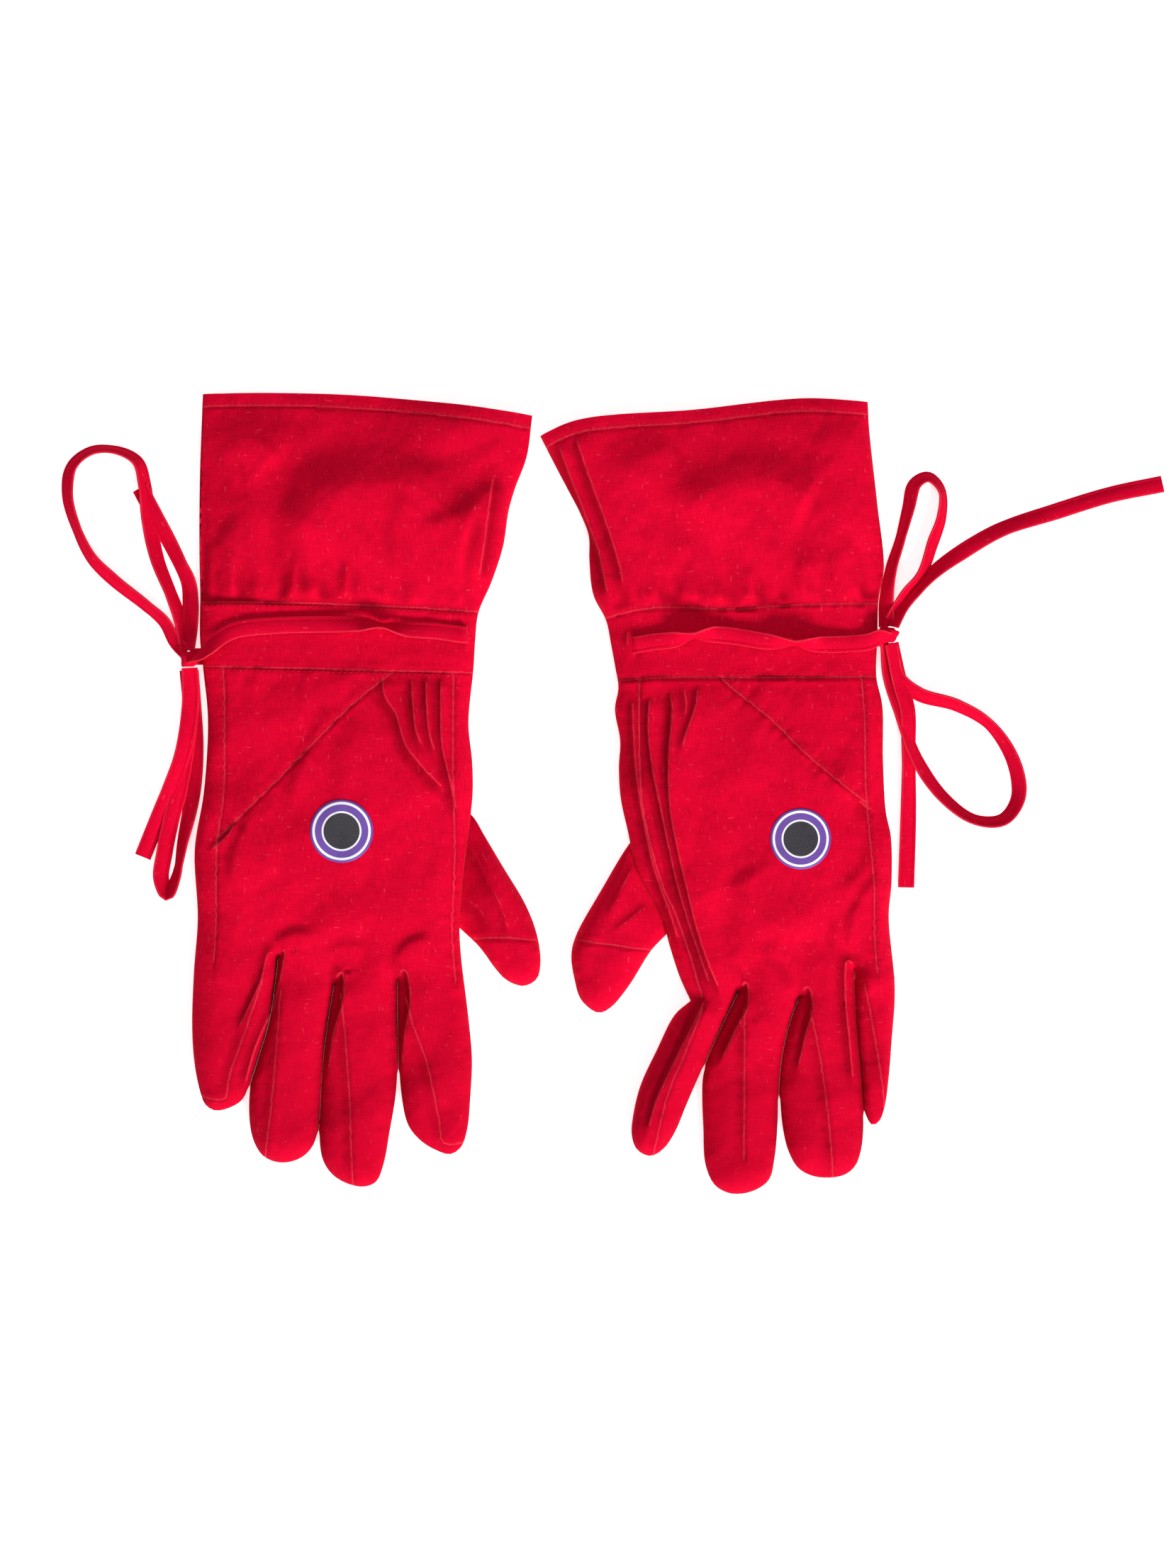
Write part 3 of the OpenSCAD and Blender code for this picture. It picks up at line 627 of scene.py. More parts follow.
# %% Lines of folds in millimetres: points, height, near width, far width (the far side is on the left)
folds = {
    "right": [
        ([(-73.3, 54), (-72, 44), (-67, 36), (-62.5, 22), (-54, 11), (-41, -2)], 1.6, 1.0, 8),
        ([(-60, 54), (-59.4, 42), (-57.6, 28), (-52, 16)], 1.4, 0.8, 3.6),
        ([(-53.5, 54), (-53, 40), (-51.5, 26), (-47, 13)], 1.5, 0.8, 3.4),
        ([(-46.5, 54), (-46.6, 40), (-46, 22), (-42, 4), (-38.6, -14)], 1.7, 0.8, 3.4),
        ([(-93, 40), (-99, 33), (-108, 14)], 0.9, 2.2, 6),
        ([(-139, -12), (-143, -19), (-152, -26), (-157, -27)], 1.2, 1.0, 5),
        ([(-131, -4), (-133, -13), (-139, -26), (-141, -44)], 0.9, 1.4, 7),
        ([(-104, 22), (-111, 8), (-114, -10)], 0.8, 1.8, 7),
        ([(-79, -72), (-88, -70), (-97, -74), (-100, -84)], 1.0, 2, 7),
        ([(-103, -66), (-112, -64), (-121, -69), (-127, -80)], 1.2, 1.6, 6),
        ([(-50, -66), (-60, -68), (-66.5, -77), (-66.5, -84)], 1.2, 1.4, 6),
        ([(-120.7, -73), (-117.4, -70.5), (-118.4, -78), (-122.6, -96), (-131, -116), (-137, -138)], 1.7, 0.7, 3.4),
        ([(-95.4, -86), (-91.6, -80.6), (-90.6, -92), (-95.6, -110), (-98.4, -132)], 1.7, 0.7, 3.2),
        ([(-67, -84), (-63.2, -79.4), (-60.4, -92), (-63.2, -110), (-65, -130)], 1.6, 0.7, 3.0),
        ([(-120.7, -74), (-124, -71.4), (-128.6, -86), (-141, -112)], 1.1, 0.9, 4),
        ([(-29.5, 96), (-27, 112), (-24.6, 130), (-22, 150)], 1.5, 1.2, 6),
        ([(-38.5, 92), (-37, 106), (-34, 122), (-33, 134)], 1.2, 1.4, 6),
        ([(-20, 141), (-30, 130), (-46, 122), (-60, 120)], 1.1, 2.4, 8),
        ([(-16, 160), (-30, 150), (-52, 144), (-70, 146)], 0.9, 3, 10),
        ([(-60, 136), (-66, 122), (-66, 106), (-64, 94)], 1.0, 2.4, 8),
        ([(-28, 122), (-43, 127), (-59, 138.5), (-84, 139), (-98, 132.5), (-116, 112)], 4.2, 7, 17),
        ([(-118, 150), (-128, 158), (-140, 160), (-150, 152)], 2.2, 7, 12),
        ([(-150, 118), (-136, 108), (-122, 108)], 2.0, 6, 12),
        ([(-104, 150), (-112, 132), (-110, 112), (-104, 96)], 0.8, 3, 10),
        ([(-148, 158), (-140, 140), (-139, 118), (-143, 96)], 0.8, 3, 10),
        ([(-34.4, 79), (-34.9, 74), (-34.9, 69), (-34.4, 63)], 1.3, 0.8, 2.2)],
    "left": [
        ([(48, 45), (47.2, 30), (49, 12), (52.6, -6), (56.4, -24), (60, -40), (64.6, -56), (70, -72), (77, -92)],
         2.2, 0.8, 4.6),
        ([(57, 48), (58, 38), (56.4, 16), (57, -6), (60.6, -26), (64.8, -44), (68.8, -60), (74.8, -78), (82, -94)],
         2.0, 0.8, 4.2),
        ([(40, 44), (40.6, 28), (42, 8), (45.2, -12), (50, -34), (57, -54), (62.6, -72)], 1.5, 0.9, 3.4),
        ([(70, 50), (68.8, 40), (64, 26), (61, 14)], 1.2, 1.0, 5),
        ([(63, 50), (64.4, 40), (63, 28)], 1.0, 0.9, 3),
        ([(141, -1), (146, -6), (152, -8), (156, -8)], 1.1, 1.0, 4),
        ([(112, 24), (121, 15), (135, 2), (143, -6)], 0.7, 1.4, 6),
        ([(150, -20), (146, -34), (138, -42), (128, -46)], 1.0, 1.8, 7),
        ([(153, -36), (146, -46), (140, -58), (140.5, -76)], 1.1, 1.4, 6),
        ([(128, -60), (134, -66), (140.4, -76)], 1.0, 1.4, 5),
        ([(98, -70), (108, -76), (114.6, -86), (116, -92)], 1.4, 1.4, 6),
        ([(82, -72), (90, -78), (94, -84)], 1.1, 1.4, 6),
        ([(88.6, -90), (91.6, -85), (92.6, -95), (86.4, -108), (78, -126)], 1.6, 0.7, 3.2),
        ([(116, -92), (119.6, -87), (121.8, -96), (118.4, -110), (114, -130)], 1.5, 0.7, 3.2),
        ([(141.6, -80), (137.6, -75), (136.6, -90), (138.6, -112), (141, -136)], 1.4, 0.7, 3.4),
        ([(74, -92), (68, -104), (60.4, -119), (51, -139), (46, -158)], 1.7, 0.8, 3.2),
        ([(101, -97), (98, -104), (90, -108)], 0.9, 1.6, 5),
        ([(6, 160), (11, 146), (18, 128), (24.6, 110), (28.6, 92), (31, 84)], 2.0, 0.9, 4.2),
        ([(14, 163), (19.6, 146), (27.6, 124), (34, 104), (37, 88)], 1.3, 1.2, 6),
        ([(124, 132), (100, 142), (76, 136), (58, 122)], 3.4, 7, 16),
        ([(142, 112), (126, 104), (112, 106)], 2.0, 6, 12),
        ([(60, 158), (44, 150), (34, 136)], 2.0, 6, 12),
        ([(86, -36), (96, -50), (112, -58), (130, -54)], 1.6, 5, 14),
        ([(128, 10), (140, 2), (150, -2)], 1.6, 4, 10),
        ([(44, 120), (52, 112), (70, 110), (84, 100)], 0.8, 2.6, 9),
        ([(56, 96), (60, 108), (58, 124)], 0.9, 2, 6),
        ([(92, 92), (97, 106), (95, 122)], 0.9, 2.2, 7),
        ([(120, 96), (124, 112), (136, 130)], 0.8, 2.6, 9),
        ([(134, 168), (124, 150), (120, 134)], 0.7, 3, 10),
        ([(40.2, 60), (41.0, 64), (41.0, 71), (40.0, 76)], 1.5, 0.8, 2.4),
        ([(38.8, 76), (37.9, 71), (37.9, 65), (38.6, 60)], 1.3, 0.8, 2.4)]}


soft_fold = 1.3                             # from this width of its near side on, a fold has no crisp edge


def fold_height(flat, points, height, near, far):
    line = even_line(points, 2.5)
    place, beside = along_and_beside(flat, line)
    run = place * line_length(line)
    fade = soft_step(run, 0, 7) * soft_step(line_length(line) - run, 0, 15)
    if near >= soft_fold:
        shape = np.exp(-(beside / np.where(beside > 0, far * 1.1, near * 1.8)) ** 2)
    else:
        shape = np.exp(-np.abs(beside) / np.where(beside > 0, far, near + 0.35))
    dip = -0.3 * np.exp(-((beside + 1.8 * near + 0.6) / (1.6 * near + 0.6)) ** 2)
    open_end = (place > 0.001) & (place < 0.999)
    return height * fade * (shape + dip) * open_end


line_reach = 2.4                            # mm over which the nearness to a pale edge line fades to none


def drawn_pleats(side, seed):
    """Short soft pleats that stand on the upper casing seam, where the cuff is drawn in."""
    random = np.random.default_rng(seed)
    seam = even_line(casing_top[side], 1.0)
    pleats, at = [], 8.0
    while at < len(seam) - 10:
        x, y = seam[int(at)]
        tall = random.uniform(12, 28)
        lean = random.uniform(-3, 3)
        pleats.append(([(x, y + 0.5), (x + 0.4 * lean, y + tall / 2), (x + lean, y + tall)],
                       random.uniform(1.2, 2.2), soft_fold, random.uniform(2.4, 4.4)))
        at += random.uniform(5.5, 14)
    return pleats


def fold_marks(flat, points, height, near, far):
    """Where a fold's crest gets a painted pale highlight, partly wear, and where the cloth beside its sharp side gets
    painted shade.
    """
    line = even_line(points, 2.5)
    place, beside = along_and_beside(flat, line)
    run = place * line_length(line)
    fade = soft_step(run, 0, 5) * soft_step(line_length(line) - run, 0, 12) * (place > 0.001) * (place < 0.999)
    crisp = near < soft_fold
    crest = np.clip(1 - np.abs(beside) / line_reach, 0, 1) * crisp * np.clip(fade * 1.3, 0, 1)
    shade = np.exp(-((beside + 1.5) / 1.3) ** 2) + 0.5 * np.exp(-((beside + 3.4) / 2.6) ** 2)
    return crest, shade * fade * min(height / 1.8, 1.0) * (1 if crisp else 0.3)


def fold_relief(height, flat, drawn, scale=1.0):
    """Adds the folds to a height, and gives the crests with painted highlight, partly wear, and the hollows with
    painted shade of all of them.
    """
    crest, hollow = np.zeros(len(flat)), np.zeros(len(flat))
    for fold in drawn:
        height = height + scale * fold_height(flat, *fold)
        lit_crest, dark = fold_marks(flat, *fold)
        crest, hollow = np.maximum(crest, lit_crest), np.maximum(hollow, dark)
    return height, crest, hollow


def seam_height(flat, line, ridge_side=1, deep=0.55, pucker=0.35, seed=1):
    """Height of a seam, and how near each point is to its line, for the pale line painted along it: partly worn
    thread, partly painted highlight.
    """
    place, beside = along_and_beside(flat, line)
    s = beside * ridge_side
    groove = -deep * np.exp(-(s / 0.75) ** 2)
    ridge = 0.5 * deep * np.exp(-((s - 1.9) / 1.3) ** 2)
    run = place * line_length(line)
    drawn = mottle(run, s * 0.15 + 3.0 * seed, 3.2, seed) + 0.5 * mottle(run, s * 0.1, 1.8, seed + 1)
    drawn = drawn * pucker * np.exp(-np.abs(s) / 3.6) * (1 - np.exp(-(s / 0.8) ** 2))
    inside_ends = (place > 0.0005) & (place < 0.9995)
    return (groove + ridge + drawn) * inside_ends, np.clip(1 - np.abs(s) / line_reach, 0, 1) * inside_ends


def gathers(flat, line, away, seed, reach=22, height=0.8, size=6.5):
    """Small pleats that run out from a drawn-in seam, to one side of it."""
    place, beside = along_and_beside(flat, line)
    s = beside * away
    run = place * line_length(line)
    wave = mottle(run + 0.12 * s, s * 0.05, size, seed)
    sharp = np.sign(wave) * np.abs(wave) ** 0.8
    return height * sharp * np.exp(-np.clip(s, 0, None) / reach) * (s > 0) * soft_step(s, 0, 6)

# %% [markdown]
# ## Red cotton
#
# The cloth is a plain weave of thin, uneven yarn. Two stretched noises, one along the warp and one
# along the weft, give its faint streaks, and thick places in the yarn show as pale flecks. Edges,
# seams and fold crests get a painted pink highlight that is partly also wear, and hollows beside
# folds and seams get painted shade. All of it reads the cloth's own flat pattern, in metres, so
# the weave follows each panel when it bends. A small class lets shader maths be written as sums.

# %% Shader sums and one way to add a node
class Wire:
    def __init__(self, recipe, socket):
        self.recipe, self.socket = recipe, socket

    def maths(self, operation, a, b=0.0):
        return self.recipe.node("ShaderNodeMath", {"operation": operation}, {0: a, 1: b})

    def __add__(self, other): return self.maths("ADD", self, other)
    def __radd__(self, other): return self.maths("ADD", other, self)
    def __sub__(self, other): return self.maths("SUBTRACT", self, other)
    def __rsub__(self, other): return self.maths("SUBTRACT", other, self)
    def __mul__(self, other): return self.maths("MULTIPLY", self, other)
    def __rmul__(self, other): return self.maths("MULTIPLY", other, self)


class Recipe:
    def __init__(self, name):
        self.material = bpy.data.materials.new(name)
        self.material.use_nodes = True
        self.tree = self.material.node_tree
        self.tree.nodes.clear()

    def node(self, kind, settings=None, values=None, out=0):
        made = self.tree.nodes.new(kind)
        for key, value in (settings or {}).items():
            if key == "stops":
                ramp = made.color_ramp
                while len(ramp.elements) < len(value):
                    ramp.elements.new(0.5)
                for element, (place, colour) in zip(ramp.elements, value):
                    element.position, element.color = place, (*colour, 1.0)
            else:
                setattr(made, key, value)
        for key, value in (values or {}).items():
            if isinstance(value, Wire):
                self.tree.links.new(value.socket, made.inputs[key])
            elif value is not None:
                made.inputs[key].default_value = value
        return Wire(self, made.outputs[out]) if len(made.outputs) else made

    def mix(self, factor, a, b):
        a, b = ((*c, 1.0) if isinstance(c, tuple) and len(c) == 3 else c for c in (a, b))
        return self.node("ShaderNodeMix", {"data_type": "RGBA", "clamp_factor": True}, {0: factor, 6: a, 7: b}, out=2)

    def step(self, value, low, high):
        return self.node("ShaderNodeMapRange", {"interpolation_type": "SMOOTHSTEP"}, {0: value, 1: low, 2: high})

    def surface(self, **values):
        names = {key.replace("_", " ").title().replace("Ior", "IOR"): value for key, value in values.items()}
        shader = self.node("ShaderNodeBsdfPrincipled", None, names)
        self.node("ShaderNodeOutputMaterial", None, {"Surface": shader})
        return self.material


# %% The cotton, for the panels, the hem and the tapes
def cotton(name, deep, middle, bright, pink, streak=1.0, bump=0.5, finger_shade=False):
    r = Recipe(name)
    uv = r.node("ShaderNodeUVMap", {"uv_map": "cloth"})
    split = r.node("ShaderNodeSeparateXYZ", None, {0: uv})
    u = split * 1000.0
    v = Wire(r, split.socket.node.outputs[1]) * 1000.0

    def noise(across, along, detail=2.0, rough=0.5, seed=0.0):
        place = r.node("ShaderNodeCombineXYZ", None, {0: u * across, 1: v * along, 2: seed})
        return r.node("ShaderNodeTexNoise", {"noise_dimensions": "3D"},
                      {"Vector": place, "Scale": 1.0, "Detail": detail, "Roughness": rough})

    warp, weft = noise(1.5, 0.16, seed=3.0), noise(0.16, 1.5, seed=9.0)
    yarn = noise(2.1, 2.1, 1.0, 0.6, 5.0)
    patches = noise(0.035, 0.03, 3.0, 0.5, 1.0)
    tone = (0.5 + (warp - 0.5) * (0.85 * streak) + (weft - 0.5) * (0.65 * streak) + (yarn - 0.5) * 0.8
            + (patches - 0.5) * 0.55)
    slub_up, slub_across = noise(0.95, 0.22, 1.0, 0.5, 21.0), noise(0.22, 0.95, 1.0, 0.5, 33.0)
    slubs = r.step(slub_up, 0.68, 0.8) + r.step(slub_across, 0.69, 0.8)
    colour = r.mix(r.step(tone, 0.0, 0.52), deep, middle)
    colour = r.mix(r.step(tone, 0.5, 1.05), colour, bright)
    colour = r.mix(slubs * 0.35 * streak, colour, pink)
    if finger_shade:                             # painted shade, darker towards the fingertips
        colour = r.mix(r.step(v * -1.0, 50.0, 150.0) * 0.5, colour, tuple(0.62 * c for c in middle))
    # Painted shade: hollows, creases, seams and slits are darkened by fold_shade.
    shade = r.node("ShaderNodeAttribute", {"attribute_name": "fold_shade"}, None, out=2)
    colour = r.mix(shade * 0.6, colour, tuple(0.45 * c for c in deep))
    # Painted highlight, partly also wear: a pale pink line on edges, seams and fold crests.
    light = r.node("ShaderNodeAttribute", {"attribute_name": "edge_light"}, None, out=2)
    colour = r.mix(r.step(light, 0.8, 0.93) * (warp * 0.5), colour, pink)
    weave = (warp + weft) * 0.5 + yarn * 0.8
    normal = r.node("ShaderNodeBump", None, {"Strength": bump, "Distance": 0.00025, "Height": weave})
    roughness = 0.86 - slubs * 0.1
    return r.surface(base_color=colour, roughness=roughness, normal=normal, sheen_weight=0.03,
                     sheen_roughness=0.45, sheen_tint=(1.0, 0.12, 0.2, 1.0), specular_ior_level=0.02)


# Pink for the yarn's pale flecks, and for the painted highlight, partly wear, on edges, seams and crests.
fleck_and_highlight_pink = (0.88, 0.07, 0.11)
cloth_red = cotton("red_cotton", (0.43, 0.0008, 0.014), (0.64, 0.001, 0.024), (0.80, 0.003, 0.040), fleck_and_highlight_pink,
                   finger_shade=True)
hem_red = cotton("red_cotton_hem", (0.41, 0.0008, 0.014), (0.62, 0.001, 0.024), (0.78, 0.003, 0.040), fleck_and_highlight_pink)
tape_red = cotton("red_cotton_tape", (0.42, 0.001, 0.015), (0.63, 0.001, 0.025), (0.79, 0.004, 0.042), fleck_and_highlight_pink,
                  streak=0.8)
for piece in tie_tapes.values():
    piece.data.materials.append(tape_red)
print("materials", [m.name for m in bpy.data.materials])

# %% [markdown]
# ## Floor and light
#
# A pale floor that glows a little stays white under the gloves. One large soft lamp stands beyond
# the fingers, a weak one hangs above, and an even fill comes from all round, so the folds show
# without hard shadows.

# %% Floor, lamps and an even fill
bpy.context.scene.view_settings.view_transform = "Standard"
floor = mesh_object("floor", [(-4, -4, 0), (4, -4, 0), (4, 4, 0), (-4, 4, 0)], [(0, 1, 2, 3)], smooth=False)
paper = Recipe("pale_floor")
paper_grain = paper.node("ShaderNodeTexNoise", None, {"Vector": paper.node("ShaderNodeTexCoord", None, None, out=3),
                                                     "Scale": 3.0, "Detail": 2.0})
floor.data.materials.append(paper.surface(
    base_color=paper.mix(paper_grain, (0.90, 0.90, 0.90), (0.93, 0.93, 0.93)), roughness=0.9, specular_ior_level=0.1,
    emission_color=(1, 1, 1, 1), emission_strength=0.6))


def soft_lamp(name, place, size, power, aim=(0, 0, 0)):
    data = bpy.data.lights.new(name, "AREA")
    data.shape, data.size, data.energy = "DISK", size, power
    lamp = bpy.data.objects.new(name, data)
    bpy.context.scene.collection.objects.link(lamp)
    lamp.location = place
    lamp.rotation_euler = (Vector(aim) - Vector(place)).to_track_quat("-Z", "Y").to_euler()
    return lamp


soft_lamp("window_lamp", (1.5, -3.2, 2.0), 1.4, 225)
soft_lamp("overhead_lamp", (-0.2, 0.4, 2.4), 1.2, 13)
world = bpy.data.worlds.new("even_fill")
world.use_nodes = True
world.node_tree.nodes["Background"].inputs[0].default_value = (1, 1, 1, 1)
world.node_tree.nodes["Background"].inputs[1].default_value = 0.3
bpy.context.scene.world = world

# %% [markdown]
# ## From layers to sewn panels
#
# A panel is lifted out of the finished skin as a thin shell: the outer face, an inner face half a
# millimetre below it, and a narrow edge all round. It keeps the whole skin's normals, so that no
# false line shows where two panels meet without a seam.

# %% A panel of cloth with two faces and an edge
cloth_thick = 0.55
cloth_clear = 0.15                          # lowest that cloth comes above the floor, in millimetres


def panel(name, points, flat, normals, triangles, values, material):
    used = np.unique(triangles)
    new = np.full(len(points), -1)
    new[used] = np.arange(len(used))
    outer = new[triangles]
    n = len(used)
    inner = outer[:, ::-1] + n
    rim = rim_edges(outer)
    walls = [(b, a, a + n, b + n) for a, b in rim.tolist()]
    face_points = np.vstack([points[used], points[used] - normals[used] * cloth_thick])
    face_points[:, 2] = np.maximum(face_points[:, 2], cloth_clear)
    mesh = bpy.data.meshes.new(name)
    corners = np.concatenate([outer.ravel(), inner.ravel(), np.array(walls, int).ravel()])
    sizes = np.concatenate([np.full(2 * len(outer), 3), np.full(len(walls), 4)])
    mesh.vertices.add(2 * n)
    mesh.vertices.foreach_set("co", (face_points * MM).astype(np.float32).ravel())
    mesh.loops.add(len(corners))
    mesh.loops.foreach_set("vertex_index", corners.astype(np.int32))
    mesh.polygons.add(len(sizes))
    mesh.polygons.foreach_set("loop_start", np.r_[0, np.cumsum(sizes)[:-1]].astype(np.int32))
    mesh.polygons.foreach_set("use_smooth", np.ones(len(sizes), bool))
    mesh.update(calc_edges=True)
    mesh.validate()
    mesh.materials.append(material)
    layer = mesh.uv_layers.new(name="cloth")
    layer.data.foreach_set("uv", (flat[used][corners % n] * MM).astype(np.float32).ravel())
    for key, value in values.items():
        half = value[used].astype(np.float32)
        mesh.attributes.new(key, "FLOAT", "POINT").data.foreach_set("value", np.r_[half, half])
    skin = normals[used]
    loops = np.concatenate([skin[outer.ravel()], -skin[inner.ravel() - n], np.zeros((4 * len(walls), 3))])
    mesh.normals_split_custom_set(loops.tolist())
    made = bpy.data.objects.new(name, mesh)
    bpy.context.scene.collection.objects.link(made)
    return made


def cut_size(flat, triangles, along=(0.0, 1.0)):
    """Width, length and area of a flat panel, in metres, measured along its own direction."""
    used = flat[np.unique(triangles)]
    along = np.array(along) / np.linalg.norm(along)
    long, wide = used @ along, used @ np.array([along[1], -along[0]])
    a, b, c = (flat[triangles[:, k]] for k in range(3))
    area = np.abs((b[:, 0] - a[:, 0]) * (c[:, 1] - a[:, 1]) - (b[:, 1] - a[:, 1]) * (c[:, 0] - a[:, 0])).sum() / 2
    return (float(np.ptp(wide)) * MM, float(np.ptp(long)) * MM), float(area) * MM * MM

# %% [markdown]
# ## The two thumbs and the two hands
#
# The thumb is a separate pouch whose root is sewn in under the edge of the hand. Its own height
# falls away towards the root, and the lower layer of the hand is lifted over it there.

# %% Outlines of the thumbs, in millimetres
thumb_outline = {
    "right": [(-40, -6), (-33, -10), (-27, -19.5), (-19.2, -32.6), (-7.8, -51.9), (-2.8, -66), (-1.6, -78),
              (-3.4, -84.6), (-9.5, -87.7), (-17.9, -84.4), (-29.8, -69.6), (-38.4, -61.5), (-48, -52),
              (-51, -36), (-48, -16)],
    "left": [(46, -15), (38.8, -23), (26.3, -43.5), (14.4, -65), (12.4, -73.5), (13.8, -84.4), (16.8, -94),
             (24.6, -99.9), (30, -97.8), (38.2, -88.3), (48.8, -71.6), (56, -64), (65, -54), (65, -38),
             (57, -20)]}
thumb_root = {"right": [(-33, -11), (-37.5, -62)], "left": [(38, -19), (53.5, -60)]}
thumb_cross = {"right": [(-36, -66.6), (-20, -65.4), (4, -67.6)], "left": [(6, -65.4), (30, -68.6), (60, -73)]}
thumb_folds = {
    "right": [([(-35, -22), (-27, -36), (-19, -52), (-14, -70)], 0.9, 1.2, 5),
              ([(-38, -46), (-30, -52), (-22, -62)], 0.8, 1.2, 4),
              ([(-30, -24), (-22, -38)], 0.7, 1.2, 4)],
    "left": [([(42, -30), (34, -46), (27, -60)], 0.9, 1.2, 5),
             ([(48, -50), (38, -58), (27, -66)], 0.8, 1.0, 4),
             ([(26, -72), (25, -84), (24, -94)], 0.6, 1.4, 5)]}
cloth_step = 2.4


def root_direction(side):
    a, b = np.array(thumb_root[side], float)
    d = (b - a) / np.linalg.norm(b - a)
    out = np.array([d[1], -d[0]])
    return (a + b) / 2, out * (1 if (out @ np.array([-outward[side], 0])) > 0 else -1)


def closed_line(points, step):
    p = np.array(points, float)
    around = even_line(np.vstack([p[-3:], p, p[:3]]), step)
    first = np.argmin(np.linalg.norm(around[:len(around) // 3] - p[0], axis=1))
    last = len(around) - 1 - np.argmin(np.linalg.norm(around[::-1][:len(around) // 3] - p[0], axis=1))
    return around[first:last]


thumb_edge = {side: closed_line(thumb_outline[side], cloth_step) for side in SIDES}


def thumb_heights(side, flat):
    edge = thumb_edge[side]
    fine = even_line(np.vstack([edge, edge[:1]]), 0.4)
    d = distance_to(near_tree(fine), flat) * inside(flat, edge)
    middle, out = root_direction(side)
    far = (flat - middle) @ out
    crown = 3.9 + 8.0 * soft_step(far, -4, 16)
    seam_z = 2.2 + 2.0 * soft_step(far, -4, 14)
    top = seam_z + (crown - seam_z) * lens(d / 11)
    low = seam_z - (seam_z - floor_z) * lens(d / 6)
    return top, low, d


def two_layers(flat, triangles, joined):
    """Top and bottom triangles over the same flat cloth, sharing the joined outline points."""
    n = len(flat)
    twin = np.where(joined, np.arange(n), 0)
    twin[~joined] = n + np.arange((~joined).sum())
    return np.vstack([flat, flat[~joined]]), twin, np.vstack([triangles, twin[triangles][:, ::-1]])


# Painted shade where the skin is concave, beside fold edges and along seams, and a painted pale highlight, partly
# also wear, along the outline, the seams and the fold crests.
def light_and_shade(points, normals, triangles, edge_distance, seam_mask, crest=0.0, hollow=0.0):
    smooth = points
    bend = np.zeros(len(points))
    for k in range(3):
        smooth = neighbour_mean(smooth, triangles)
        bend += np.einsum("ij,ij->i", smooth - points, normals)
    shade = np.clip(bend / 0.9 - 0.04, 0, 1)
    edge = np.clip(1 - edge_distance / line_reach, 0, 1)
    return {"fold_shade": np.clip(neighbour_mean(shade, triangles) + 0.8 * hollow + 0.3 * seam_mask, 0, 1),
            "edge_light": np.maximum(np.maximum(edge, seam_mask), crest)}


# %% [markdown]
# ## Handing over one panel
# Each panel stands for one part of the frame, which is hidden. A panel without a bending zone
# rides on its body; one with a zone stays where it lies. The size it was cut to is noted: the
# rectangle round its outline and the cloth turned in at each side. A sheet's area may not be
# under 0.3 of that rectangle, so no area is given as less than 0.31 of it. Four strips fill less
# than 0.3 of that rectangle: the left hem, the left thumb strip, the right little finger's side
# strip, and by a little the right hem. Their area is given as more than the cloth they are cut
# from.

# %% Making the thumbs
def put_panel(name, node, body, slot, declared=None, blend=None, **made):
    piece = panel(name, **made)
    if blend:
        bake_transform(piece)
    else:
        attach(piece, body)
    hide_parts(node)
    flat_size, area = cut_size(made["flat"], made["triangles"] if declared is None else declared[0],
                               (0.0, 1.0) if declared is None else declared[1])
    layers = 1.0 if declared is None else declared[2]
    cut = (flat_size[0] * layers + 2 * turned_in, flat_size[1] + 2 * turned_in)
    max(area * layers, 0.31 * cut[0] * cut[1])
    sheet_sizes[node] = tuple(round(v * 1000) for v in cut)
    return piece


